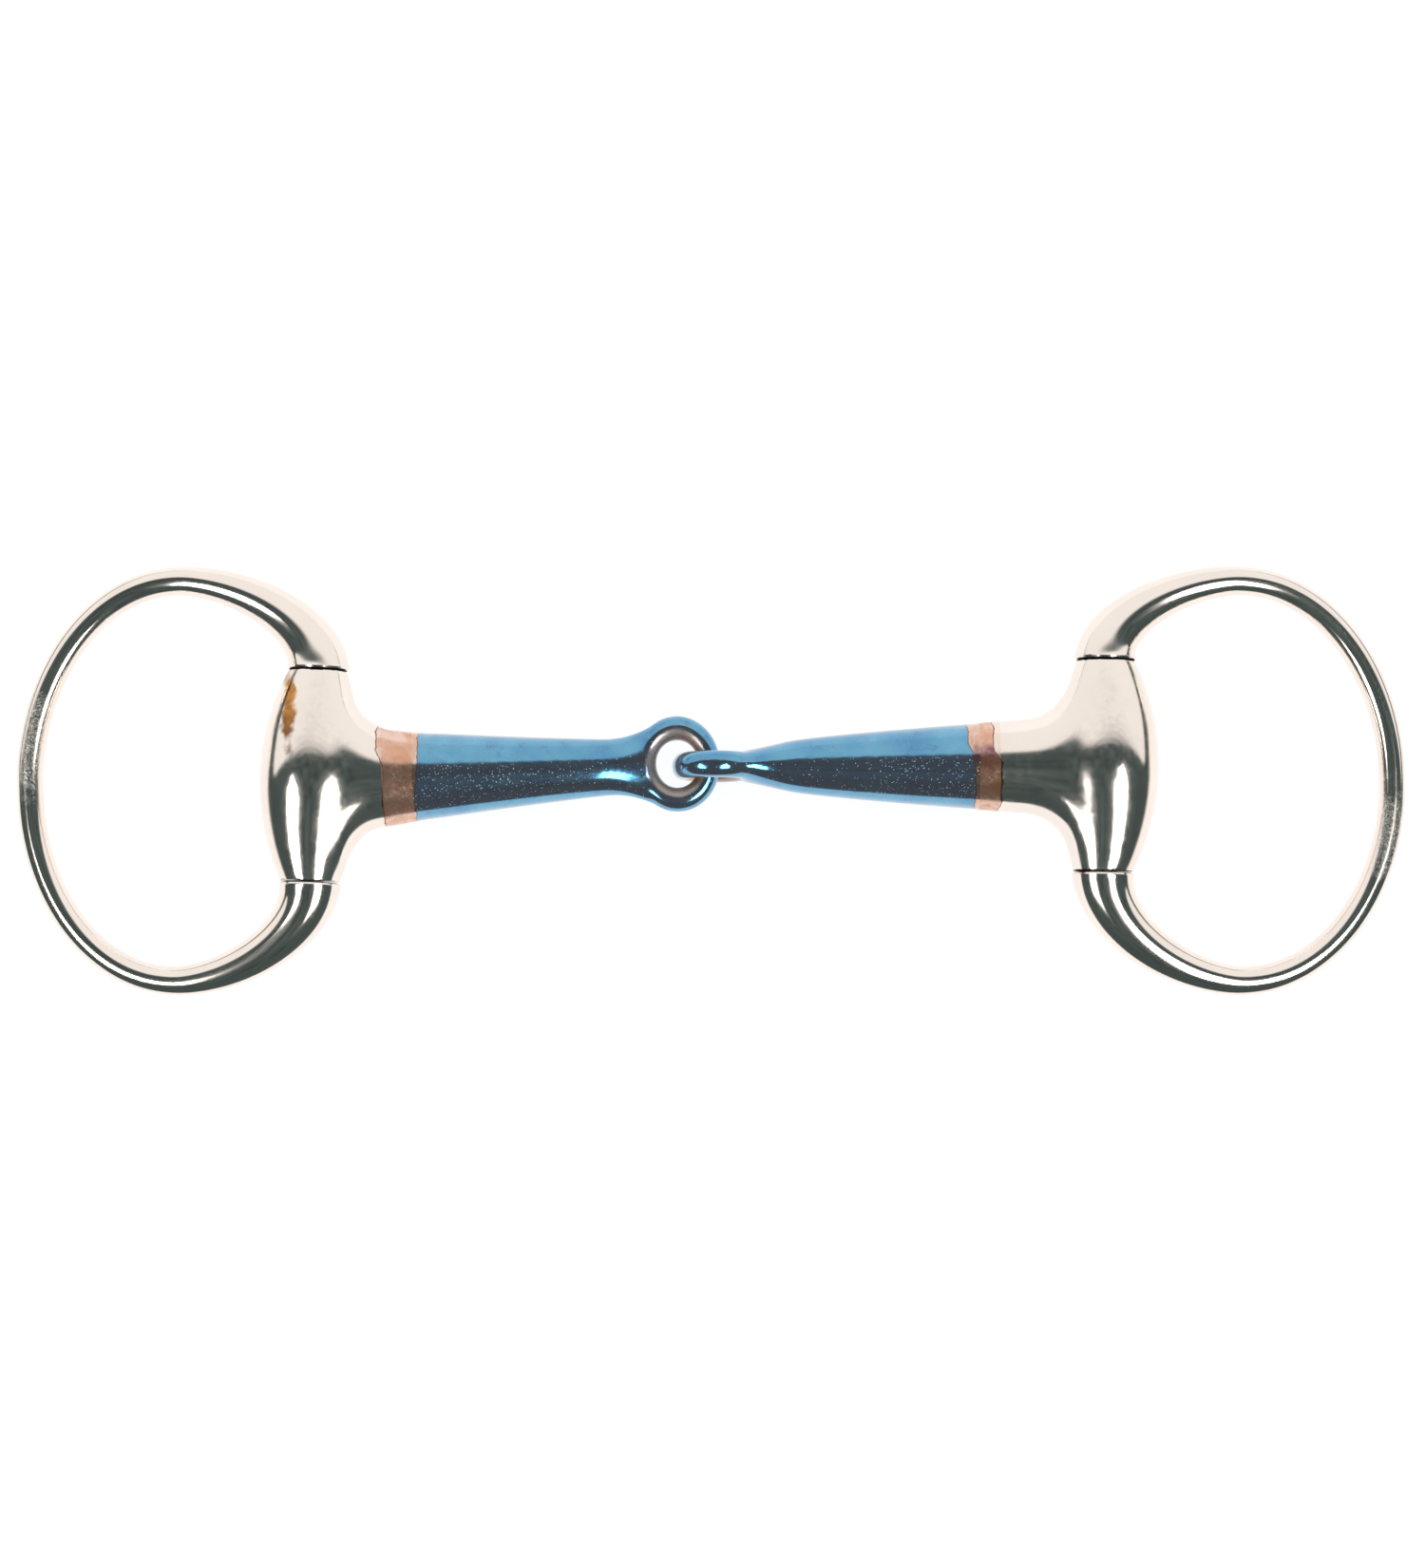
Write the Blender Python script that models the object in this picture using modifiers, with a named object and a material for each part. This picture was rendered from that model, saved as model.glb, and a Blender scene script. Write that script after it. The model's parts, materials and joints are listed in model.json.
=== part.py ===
"""Single-jointed eggbutt snaffle bit, lying flat: +X along the mouthpiece, +Y along the hinges of
the cheek rings, +Z up, origin on the surface it lies on, below the middle of the object.

Sizes are in millimetres up to point(), which turns a place in one side's own frame into metres in
the world. That frame has its origin in the middle of the butt, u outwards from the mouth, v along
the butt and w up, so the same functions build the left and the right side.
"""

import math
from types import SimpleNamespace

import bmesh
import bpy
from mathutils import Matrix, Vector

MM = 0.001
GAP = 0.3  # clearance between pieces that touch or are brazed together

# Cheek ring: a loop of tapering wire whose ends meet the butt at the two seams
SEAM_DIAMETER = 11.7
RING_HALF_HEIGHT = 37.4  # middle of the wire, from the middle of the loop to its top
RING_APEX_OUT = 26.0  # how far out from the hinge the top and bottom of the loop are
RING_ROOT_POWER = 1.75  # the loop's root quarters are superellipses: 2 would be an ellipse
RING_THIN = 4.9  # wire diameter at the far end
RING_MID = 5.3  # wire diameter at the top and bottom of the loop
RING_STRAIGHT = 0.8  # the ring's ends run this far straight along the hinge before they curve
RING_ROOT_TAPER = 1.35  # how fast the wire thins from the seam to the top of the loop
RING_STEPS = 11  # points in each quarter of the loop
SEAM_GAP = 0.4
SOCKET_DEPTH = 6.0  # of the blind hole for the hinge pin in each ring end

# Butt: the barrel on the hinge, and the neck that reaches towards the mouthpiece
BUTT_HALF_LENGTH = 19.4
BUTT_BULGE = 10.3  # from the hinge to the crown of the side that faces the ring
BUTT_HALF_DEPTH = 10.3  # the same under and over the hinge
BUTT_CROWN = 5.0  # how softly the two slopes of the butt's depth meet over its middle
NECK_RADIUS = 8.4  # half height of the neck past its fillet and taper
NECK_HALF_DEPTH = 8.5
NECK_OVERRUN = 1.5  # extra length, which the tenon socket's cutter trims to the braze's slant
BUTT_SIDES = 36  # facets round the butt and the neck
FILLET_FROM = 5.8  # distance from the hinge where the fillet under the butt's ends starts
FILLET_TO = 14.0
FILLET_POWER = 1.7
FILLET_TOP = 18.5  # half height at the butt's end of the fillet
NECK_FLARE = 8.9  # half height of the neck where the fillet ends
NECK_TAPER = 6.0  # length past the fillet over which the neck slims to its radius
PIN_DIAMETER = 4.8

# Cannon: measured from the middle of the eye towards the butt
CANNON_LENGTH = 47.2
CANNON_ROOT = (8.15, 7.9)  # half sizes at the braze: across the eye's plane, and out of it
CANNON_WAIST = (5.3, 4.5)  # the same at the slimmest place
WAIST_AT = 12.6
EYE_HALF = (8.15, 8.9)  # outer half sizes of the eye: along the arm and across it
EYE_HOLE = (3.75, 4.5)  # the same of its hole
EYE_HALF_THICK = 2.6
EYE_POWER = 3.2  # the eye's sections are superellipses, flatter than the arm's ellipses
FLARE_FROM = 3.2  # distance from the eye's middle where the arm leaves the eye's outline
TENON_RADIUS = 5.0
TENON_IN_BUTT = 7.0

AXIS_HEIGHT = 10.33  # of the hinges and the arms above the surface that the bit lies on
FOLD_AXIS_X = -0.35  # middle of the left eye's outer wire, which the right eye hangs on
EYE_SLACK = 0.5  # between the two eyes' wires when the mouthpiece is straight

# The two sides are finished by hand and differ a little in these. reach is from the hinge to the
# wire's middle at the ring's far end, ring_drop is how far the loop's middle lies below the butt's.
# The eyes are the same forging, one lying flat and the other turned a quarter about the arm.
LEFT = SimpleNamespace(name="left", outward=-1, middle=(-73.7, 0.5), lean=-2.0, neck=12.3, braze=8.0)
LEFT.tilt, LEFT.reach, LEFT.ring_drop, LEFT.eye_flat = 2.8, 54.3, 0.5, True
RIGHT = SimpleNamespace(name="right", outward=1, middle=(0, 2.35), lean=1.0, neck=18.9, braze=6.2)
RIGHT.tilt, RIGHT.reach, RIGHT.ring_drop, RIGHT.eye_flat = 0.0, 55.0, 2.35, False


def collection_named(name):
    made = bpy.data.collections.new(name)
    bpy.context.scene.collection.children.link(made)
    return made


def material(name, colour, roughness, metallic=1.0):
    """A Principled material. colour is linear RGB."""
    made = bpy.data.materials.new(name)
    made.use_nodes = True
    shader = made.node_tree.nodes["Principled BSDF"]
    shader.inputs["Base Color"].default_value = (*colour, 1)
    shader.inputs["Roughness"].default_value = roughness
    shader.inputs["Metallic"].default_value = metallic
    return made


def point(side, u, v, w):
    x, y = side.middle
    return Vector((x + side.outward * u, y + v, AXIS_HEIGHT + w)) * MM


def hinge_frame(side):
    """Matrix from the leaning hinge's frame to the world: its Z runs up the butt, its X outwards."""
    lean = math.radians(side.lean)
    up = Vector((side.outward * math.sin(lean), math.cos(lean), 0))
    out = Vector((side.outward * math.cos(lean), -math.sin(lean), 0))
    across = up.cross(out)
    turn = Matrix((out, across, up)).transposed().to_4x4()
    return Matrix.Translation(point(side, 0, 0, 0)) @ turn


def arm_frame(side):
    """Matrix from the cannon's frame to the world: X from the eye's middle towards the butt."""
    braze_at = side.neck + side.braze
    tilt = math.radians(side.tilt)
    along = Vector((side.outward * math.cos(tilt), -math.sin(tilt), 0))
    eye = point(side, -braze_at, 0, 0) - along * CANNON_LENGTH * MM
    sideways = Vector((0, 0, 1)).cross(along) if side.eye_flat else Vector((0, 0, 1))
    turn = Matrix((along, sideways, along.cross(sideways))).transposed().to_4x4()
    return Matrix.Translation(eye) @ turn


def moved_to(collection, obj):
    for old in obj.users_collection:
        old.objects.unlink(obj)
    collection.objects.link(obj)


def finished(obj, finish):
    """Puts the piece in the bit's collection, gives it its material and smooth shading."""
    moved_to(BIT, obj)
    obj.data.materials.clear()
    obj.data.materials.append(finish)
    obj.data.shade_smooth()
    obj.data.set_sharp_from_angle(angle=math.radians(35))
    return obj


def mesh_object(name, shape, matrix=None):
    bmesh.ops.recalc_face_normals(shape, faces=shape.faces)
    mesh = bpy.data.meshes.new(name)
    shape.to_mesh(mesh)
    shape.free()
    obj = bpy.data.objects.new(name, mesh)
    obj.matrix_world = matrix or Matrix.Identity(4)
    bpy.context.scene.collection.objects.link(obj)
    return obj


def skin(name, sections, matrix=None):
    """A closed loft through sections, each a ring of points in metres."""
    shape = bmesh.new()
    rings = [[shape.verts.new(p) for p in section] for section in sections]
    for ring, following in zip(rings, rings[1:]):
        for i in range(len(ring)):
            j = (i + 1) % len(ring)
            shape.faces.new((ring[i], ring[j], following[j], following[i]))
    shape.faces.new(rings[0])
    shape.faces.new(rings[-1])
    return mesh_object(name, shape, matrix)


def turned(name, profile, matrix, sides=32):
    """A solid turned about its own Z from a profile of (radius, height) in mm, top to bottom."""
    mesh = bpy.data.meshes.new(name)
    corners = [(r * MM, 0, z * MM) for r, z in profile]
    mesh.from_pydata(corners, [(i, i + 1) for i in range(len(corners) - 1)], [])
    obj = bpy.data.objects.new(name, mesh)
    bpy.context.scene.collection.objects.link(obj)
    obj.matrix_world = matrix
    screw = obj.modifiers.new("turn", "SCREW")
    screw.steps = screw.render_steps = sides
    screw.use_merge_vertices = True
    screw.merge_threshold = 0.000001
    return obj


def oval(half_a, half_b, power, sides):
    """Points of a superellipse, spread evenly in angle, in mm."""
    points = []
    for i in range(sides):
        angle = 2 * math.pi * (i + 0.5) / sides
        c, s = math.cos(angle), math.sin(angle)
        a = math.copysign(abs(c) ** (2 / power), c) * half_a
        b = math.copysign(abs(s) ** (2 / power), s) * half_b
        points.append((a, b))
    return points


def cut(obj, cutter):
    """Takes the cutter away from the object, with the cutter kept in its own collection."""
    moved_to(CUTTERS, cutter)
    cutter.hide_render = True
    cutter.display_type = "WIRE"
    boolean = obj.modifiers.new("cut " + cutter.name, "BOOLEAN")
    boolean.operation = "DIFFERENCE"
    boolean.object = cutter


def joined(obj, other):
    """Unites another mesh with the object, kept as a guide beside the cutters."""
    cut(obj, other)
    obj.modifiers[-1].name = "join " + other.name
    obj.modifiers[-1].operation = "UNION"


def ring_route(side):
    """Middle of the ring's wire as (u, v, diameter), from the upper seam round to the lower one."""
    lean = math.tan(math.radians(side.lean))
    seam = BUTT_HALF_LENGTH + SEAM_GAP
    start = seam + RING_STRAIGHT
    quarters = []
    for up in (1, -1):
        top = RING_HALF_HEIGHT - up * side.ring_drop
        root = [(up * seam * lean, up * seam, SEAM_DIAMETER)]
        for i in range(RING_STEPS):
            share = i / RING_STEPS
            angle = 0.5 * math.pi * share
            rise = math.sin(angle) ** (2 / RING_ROOT_POWER)
            out = 1 - math.cos(angle) ** (2 / RING_ROOT_POWER)
            foot = up * start * lean
            size = RING_MID + (SEAM_DIAMETER - RING_MID) * (1 - share) ** RING_ROOT_TAPER
            root.append((foot + (RING_APEX_OUT - foot) * out, up * (start + (top - start) * rise), size))
        far = []
        for i in range(RING_STEPS):
            angle = 0.5 * math.pi * i / RING_STEPS
            out = RING_APEX_OUT + (side.reach - RING_APEX_OUT) * math.sin(angle)
            size = RING_MID + (RING_THIN - RING_MID) * i / RING_STEPS
            far.append((out, up * RING_HALF_HEIGHT * math.cos(angle) - side.ring_drop, size))
        quarters.append(root + far)
    end = [(side.reach, -side.ring_drop, RING_THIN)]
    return quarters[0] + end + quarters[1][::-1]


def droop(side):
    """The angle by which the ring hangs from level until its far end rests on the surface."""
    return math.asin((AXIS_HEIGHT - RING_THIN / 2) / side.reach)


def ring_tube(side):
    """The ring's wire as a curve with a round bevel, made a mesh so that it can be drilled."""
    curve = bpy.data.curves.new("ring tube", "CURVE")
    curve.dimensions = "3D"
    curve.bevel_depth = 0.5 * MM
    curve.bevel_resolution = 6
    curve.use_fill_caps = True
    angle = droop(side)
    route = ring_route(side)
    spline = curve.splines.new("POLY")
    spline.points.add(len(route) - 1)
    for place, (u, v, size) in zip(spline.points, route):
        hinge_u = v * math.tan(math.radians(side.lean))
        reach = u - hinge_u
        place.co = (*point(side, hinge_u + reach * math.cos(angle), v, -reach * math.sin(angle)), 1)
        place.radius = size
    guide = bpy.data.objects.new("ring tube", curve)
    bpy.context.scene.collection.objects.link(guide)
    bpy.context.view_layer.update()
    graph = bpy.context.evaluated_depsgraph_get()
    mesh = bpy.data.meshes.new_from_object(guide.evaluated_get(graph))
    bpy.data.objects.remove(guide)
    shape = bmesh.new()
    shape.from_mesh(mesh)
    bpy.data.meshes.remove(mesh)
    bmesh.ops.remove_doubles(shape, verts=shape.verts, dist=0.000001)
    return mesh_object(side.name + "_ring", shape)


def pin_hole(side, name, from_v, to_v):
    radius = PIN_DIAMETER / 2 + GAP
    profile = [(0, to_v), (radius, to_v), (radius, from_v), (0, from_v)]
    return turned(name, profile, hinge_frame(side), sides=20)


def cheek_ring(side):
    ring = ring_tube(side)
    end = BUTT_HALF_LENGTH + SOCKET_DEPTH
    cut(ring, pin_hole(side, side.name + " upper socket", BUTT_HALF_LENGTH - 1, end))
    cut(ring, pin_hole(side, side.name + " lower socket", -end, 1 - BUTT_HALF_LENGTH))
    return finished(ring, STEEL)


def hinge_pin(side):
    half = BUTT_HALF_LENGTH + SOCKET_DEPTH - GAP
    chamfer = 0.5
    radius = PIN_DIAMETER / 2
    outline = [(0, half), (radius - chamfer, half), (radius, half - chamfer)]
    profile = outline + [(r, -z) for r, z in outline[::-1]]
    return finished(turned(side.name + "_hinge_pin", profile, hinge_frame(side), sides=20), PIN_STEEL)


def roof(height):
    """Distance down a roof with a rounded ridge, which is the butt's profile seen from the ring."""
    return math.hypot(height, BUTT_CROWN) - BUTT_CROWN


def butt_body(side):
    """Sections across the hinge: round at the seams, swelling into the ring and up in the middle."""
    sections = []
    steps = 14
    for i in range(steps + 1):
        height = BUTT_HALF_LENGTH * math.sin(math.pi * (i / steps - 0.5))
        swell = 1 - (height / BUTT_HALF_LENGTH) ** 2
        end = SEAM_DIAMETER / 2
        bulge = end + (BUTT_BULGE - end) * swell
        depth = end + (BUTT_HALF_DEPTH - end) * (1 - roof(height) / roof(BUTT_HALF_LENGTH))
        ring = [(a * (bulge if a > 0 else depth), b * depth, height) for a, b in oval(1, 1, 2, BUTT_SIDES)]
        sections.append([Vector(p) * MM for p in ring])
    return skin(side.name + "_barrel", sections, hinge_frame(side))


def neck_half_height(distance):
    """Half height of the neck at a distance from the hinge: a hollow fillet, then a slow taper."""
    if distance < FILLET_TO:
        share = (FILLET_TO - distance) / (FILLET_TO - FILLET_FROM)
        rise = 1 - max(0, 1 - share**FILLET_POWER) ** (1 / FILLET_POWER)
        return NECK_FLARE + (FILLET_TOP - NECK_FLARE) * rise
    share = min(1, (distance - FILLET_TO) / NECK_TAPER)
    return NECK_FLARE + (NECK_RADIUS - NECK_FLARE) * share


def neck_body(side):
    """Sections along the neck, from inside the butt to past the braze, where socket() trims it."""
    fillet_steps, taper_steps = 9, 3
    length = side.neck + NECK_OVERRUN
    stops = []
    for i in range(fillet_steps + 1):
        share = math.cos(0.5 * math.pi * i / fillet_steps) ** (2 / FILLET_POWER)
        stops.append(FILLET_TO - (FILLET_TO - FILLET_FROM) * share)
    stops = [s for s in stops if s < length]
    stops += [stops[-1] + (length - stops[-1]) * (i + 1) / taper_steps for i in range(taper_steps)]
    hidden = oval(0.9 * FILLET_TOP, 0.6 * NECK_HALF_DEPTH, 2, BUTT_SIDES)  # buried in the butt
    sections = [[point(side, 2, p, q) for p, q in hidden]]
    for distance in stops:
        outline = oval(neck_half_height(distance), NECK_HALF_DEPTH, 2, BUTT_SIDES)
        sections.append([point(side, -distance, p, q) for p, q in outline])
    return skin(side.name + " neck", sections)


def along_arm(side):
    """Matrix from a turned shape's frame to the world, with its Z along the arm from the eye."""
    return arm_frame(side) @ Matrix.Rotation(math.pi / 2, 4, "Y")


def socket(side):
    """Cutter of the tenon's socket, and of the neck's overrun past the braze."""
    face = CANNON_LENGTH + side.braze
    bottom = face + TENON_IN_BUTT + GAP
    radius = TENON_RADIUS + GAP
    clear = NECK_FLARE + 3
    profile = [(0, bottom), (radius, bottom), (radius, face), (clear, face), (clear, face - 4), (0, face - 4)]
    return turned(side.name + " tenon socket", profile, along_arm(side))


def barrel(side):
    body = butt_body(side)
    joined(body, neck_body(side))
    through = BUTT_HALF_LENGTH + 2
    cut(body, pin_hole(side, side.name + " bore", -through, through))
    cut(body, socket(side))
    return finished(body, STEEL)


def braze(side):
    """The copper collar round the tenon, between the neck and the cannon."""
    low = CANNON_LENGTH + GAP
    high = CANNON_LENGTH + side.braze - GAP
    half_height = neck_half_height(side.neck)
    neck_end = (half_height, NECK_HALF_DEPTH) if side.eye_flat else (NECK_HALF_DEPTH, half_height)
    sections = []
    for distance, half_sizes in ((low, CANNON_ROOT), (high, neck_end)):
        sections.append([Vector((distance, p, q)) * MM for p, q in oval(*half_sizes, 2, 32)])
    collar = skin(side.name + "_braze", sections, arm_frame(side))
    bore = TENON_RADIUS + GAP
    profile = [(0, high + 1), (bore, high + 1), (bore, low - 1), (0, low - 1)]
    cut(collar, turned(side.name + " tenon hole", profile, along_arm(side)))
    return finished(collar, COPPER)


def between(low, high, share):
    return low + (high - low) * share


def eye_half_width(distance):
    return EYE_HALF[1] * math.sqrt(1 - (distance / EYE_HALF[0]) ** 2)


def eye_sections():
    """(distance, half width, half thickness, power) from the eye's outer tip to its middle."""
    wire = (EYE_HALF[0] - EYE_HOLE[0]) / 2
    steps = 9
    found = []
    for i in range(steps + 1):
        angle = 0.5 * math.pi * between(0.04, 1, i / steps)
        distance = -EYE_HALF[0] * math.cos(angle)
        into_wire = max(0, (-distance - EYE_HALF[0] + wire) / wire)
        thick = EYE_HALF_THICK * math.sqrt(1 - into_wire**2)
        found.append((distance, eye_half_width(distance), thick, EYE_POWER))
    return found


def flare_sections():
    """From where the arm leaves the eye's outline, in to the waist."""
    steps = 6
    found = []
    for i in range(steps):
        share = i / steps
        width = between(CANNON_WAIST[0], eye_half_width(FLARE_FROM), (1 - share) ** 2)
        thick = between(EYE_HALF_THICK, CANNON_WAIST[1], share**1.2)
        found.append((between(FLARE_FROM, WAIST_AT, share), width, thick, between(EYE_POWER, 2, share)))
    return found


def arm_sections():
    """From the waist, swelling to the braze."""
    steps = 6
    found = []
    for i in range(steps + 1):
        share = i / steps
        width = between(CANNON_WAIST[0], CANNON_ROOT[0], share**1.15)
        thick = between(CANNON_WAIST[1], CANNON_ROOT[1], share**0.75)
        found.append((between(WAIST_AT, CANNON_LENGTH, share), width, thick, 2))
    return found


def tenon_sections(side):
    end = CANNON_LENGTH + side.braze + TENON_IN_BUTT
    return [(distance, TENON_RADIUS, TENON_RADIUS, 2) for distance in (CANNON_LENGTH, end)]


def eye_cutter(side):
    """A spool as wide as the eye's hole in the middle, opening out over the round of the wire."""
    half = EYE_HALF[1]
    wire = (half - EYE_HOLE[1]) / 2
    steps = 8
    round_side = []
    for i in range(steps + 1):
        angle = math.pi * (0.5 - i / steps) * 0.94
        round_side.append((half - wire - wire * math.cos(angle), (EYE_HALF_THICK + 0.02) * math.sin(angle)))
    clear = EYE_HALF_THICK + 3
    widest = round_side[0][0]
    profile = [(0, clear), (widest, clear)] + round_side + [(widest, -clear), (0, -clear)]
    scale = Matrix.Diagonal(((EYE_HALF[0] - wire) / (half - wire) * 0.985, 1, 1, 1))
    return turned(side.name + " eye cutter", profile, arm_frame(side) @ scale, sides=28)


def cannon(side):
    rows = eye_sections() + flare_sections() + arm_sections() + tenon_sections(side)
    sections = []
    for distance, width, thick, power in rows:
        sections.append([Vector((distance, p, q)) * MM for p, q in oval(width, thick, power, 28)])
    body = skin(side.name + "_cannon", sections, arm_frame(side))
    cut(body, eye_cutter(side))
    return finished(body, BLUED_IRON)


def place_right_side():
    """Moves the right side so that its eye hangs on the left eye's wire."""
    wire = (EYE_HALF[0] - EYE_HOLE[0]) / 2
    eye_middle = FOLD_AXIS_X + EYE_HALF[0] - 3 * wire - EYE_SLACK
    RIGHT.middle = (eye_middle + CANNON_LENGTH + RIGHT.braze + RIGHT.neck, RIGHT.middle[1])


for old in list(bpy.data.objects):
    bpy.data.objects.remove(old)
BIT = collection_named("snaffle_bit")
CUTTERS = collection_named("cutters")
STEEL = material("polished steel", (0.72, 0.69, 0.65), 0.12)
PIN_STEEL = material("pin steel", (0.55, 0.55, 0.56), 0.35)
COPPER = material("copper braze", (0.62, 0.3, 0.18), 0.25)
BLUED_IRON = material("blued sweet iron", (0.07, 0.28, 0.46), 0.25)
place_right_side()
for each_side in (LEFT, RIGHT):
    for make in (cheek_ring, hinge_pin, barrel, braze, cannon):
        make(each_side)
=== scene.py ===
# %% [markdown]
# # A snaffle bit, shaped and finished
# An eggbutt snaffle: two polished stainless cheeks, and a mouthpiece of two blued iron arms that
# are brazed with copper into the steel butts. The measured model comes in first as a fixed frame.
# Each of its pieces is then modelled again with finer shape, and given the finish of the real one.
# Lengths are in millimetres until a mesh is made, because that is how a bit maker would say them.

# %% Load the measured frame
import json
import math
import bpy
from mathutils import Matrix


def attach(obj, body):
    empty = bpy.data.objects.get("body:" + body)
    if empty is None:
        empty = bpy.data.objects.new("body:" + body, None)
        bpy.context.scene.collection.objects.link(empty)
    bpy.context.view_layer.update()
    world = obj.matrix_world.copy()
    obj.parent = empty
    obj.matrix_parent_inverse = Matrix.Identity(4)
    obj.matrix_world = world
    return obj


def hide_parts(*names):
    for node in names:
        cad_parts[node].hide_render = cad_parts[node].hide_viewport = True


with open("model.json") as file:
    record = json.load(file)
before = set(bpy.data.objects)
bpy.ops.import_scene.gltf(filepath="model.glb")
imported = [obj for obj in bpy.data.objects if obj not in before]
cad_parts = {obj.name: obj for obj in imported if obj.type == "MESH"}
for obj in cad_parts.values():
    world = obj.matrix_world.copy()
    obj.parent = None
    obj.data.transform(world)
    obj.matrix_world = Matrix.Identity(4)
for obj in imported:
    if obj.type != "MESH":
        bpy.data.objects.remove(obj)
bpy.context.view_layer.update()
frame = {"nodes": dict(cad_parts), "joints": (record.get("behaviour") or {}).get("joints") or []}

from types import SimpleNamespace

import bpy
from mathutils import Matrix, Vector

MM = 0.001
joints = {row["name"]: row for row in frame["joints"]}
print("joints:", sorted(joints))

# %% [markdown]
# ## The two sides
# Left and right are the same forgings, finished by hand, so they differ a little. Where each hinge
# stands and how far it leans is read from the joints of the frame. The other sizes are lengths
# along the neck and the braze, the tilt of the arm, how far the ring reaches and hangs, and where
# the copper ran. A mirrored copy would be quicker, but would show at once as too even.

# %% What differs from side to side
LEFT = SimpleNamespace(name="left", outward=-1, neck=12.3, braze=8.0, tilt=2.8)
LEFT.reach, LEFT.ring_drop, LEFT.eye_flat = 54.3, 0.5, True
RIGHT = SimpleNamespace(name="right", outward=1, neck=18.9, braze=6.2, tilt=0.0)
RIGHT.reach, RIGHT.ring_drop, RIGHT.eye_flat = 55.0, 2.35, False
# The copper's edges are straight slopes between two places: (height, distance from the hinge)
LEFT.copper_far, LEFT.copper_near = ((-8, 19.0), (8, 19.5)), [((2, 13.4), (5, 11.8))]
RIGHT.copper_far = ((2, 24.2), (6, 25.6))
RIGHT.copper_near = [((-8.5, 23.0), (-5.2, 19.4)), ((2.5, 19.4), (4.5, 21.0))]
Z_UP = Vector((0, 0, 1))

for side in (LEFT, RIGHT):
    hinge = joints[side.name + "_ring_swing"]
    side.middle = Vector(hinge["pos_m"])
    side.up = Vector(hinge["axis"]).normalized()
    side.up *= math.copysign(1, side.up.y)
    side.out = -side.outward * Z_UP.cross(side.up)
    lean = math.degrees(math.atan2(side.up.x, side.up.y))
    print(f"{side.name} hinge at x {side.middle.x / MM:.1f} mm, leaning {lean:.1f} degrees")

# %% [markdown]
# ## Working by hand, in code
# Everything is shaped the way a person would do it in edit mode: add a circle, extrude its face,
# move, turn and scale it, and go on to the next place. These few helpers wrap those operators.
# An operator acts on all that is selected, so each helper sets the selection first.

# %% Helpers for selecting and shaping
def alone(obj):
    """Selects this object only, and makes it the active one."""
    bpy.ops.object.select_all(action="DESELECT")
    obj.select_set(True)
    bpy.context.view_layer.objects.active = obj


def in_edit(obj, everything=False):
    """Goes into edit mode, with all the faces selected or none."""
    alone(obj)
    bpy.ops.object.mode_set(mode="EDIT")
    bpy.ops.mesh.select_mode(type="FACE")
    bpy.ops.mesh.select_all(action="SELECT" if everything else "DESELECT")


def in_object():
    bpy.ops.object.mode_set(mode="OBJECT")


def pick_faces(obj, wanted):
    """Selects the faces that the test says yes to, and goes into edit mode."""
    in_edit(obj)
    in_object()
    for face in obj.data.polygons:
        face.select = bool(wanted(face))
    bpy.ops.object.mode_set(mode="EDIT")


def extruded(by):
    """Extrudes what is selected, and leaves the new faces selected."""
    bpy.ops.mesh.extrude_region_move(TRANSFORM_OT_translate={"value": by})


def put(obj, matrix):
    """Moves the object by a matrix and applies it, so that its place is in its mesh."""
    alone(obj)
    obj.matrix_world = matrix
    bpy.ops.object.transform_apply(location=True, rotation=True, scale=True)
    return obj


def applied(obj, kind, **settings):
    """Adds a modifier with its settings and applies it."""
    alone(obj)
    modifier = obj.modifiers.new(kind.lower(), kind)
    for name, value in settings.items():
        setattr(modifier, name, value)
    bpy.ops.object.modifier_apply(modifier=modifier.name)


def outward_faces(obj):
    in_edit(obj, everything=True)
    bpy.ops.mesh.normals_make_consistent(inside=False)
    in_object()


print("helpers for shaping ready")

# %% [markdown]
# ## Straight lofts
# Most of a bit is round bar that was drawn down, swelled or bent under the hammer, so one way of
# building serves for nearly all of it: a circle whose face is extruded from station to station.
# A straight loft only needs to move the face and scale it, apart in its two directions.

# %% A straight loft
ARM_SIDES = 96


def lofted(name, stations):
    """A closed bar along Z. Each station is (height, half x, half y, shift in x), in millimetres."""
    height, half_x, half_y, shift = stations[0]
    bpy.ops.object.select_all(action="DESELECT")
    place = Vector((shift, 0, height)) * MM
    bpy.ops.mesh.primitive_circle_add(vertices=ARM_SIDES, radius=MM, fill_type="NGON", location=place)
    obj = bpy.context.object
    obj.name = name
    put(obj, Matrix.Translation(place))
    in_edit(obj, everything=True)
    bpy.ops.transform.resize(value=(half_x, half_y, 1), center_override=place)
    for before, after in zip(stations, stations[1:]):
        here = Vector((after[3], 0, after[0])) * MM
        extruded(here - place)
        change = (after[1] / before[1], after[2] / before[2], 1)
        bpy.ops.transform.resize(value=change, center_override=here)
        place = here
    in_object()
    outward_faces(obj)
    return obj


print("a straight loft has", ARM_SIDES, "sides")

# %% [markdown]
# ## Bent bars
# A bent bar also turns its face at each station, to the middle between the ways in and out, so
# that the bar stays round through the bend. A curve with a bevel would do this in one step, but
# its end faces couldn't be worked on like the ends of this one.

# %% A bent bar
RING_SIDES = 32  # few, because subdivision rounds the ring afterwards


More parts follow.
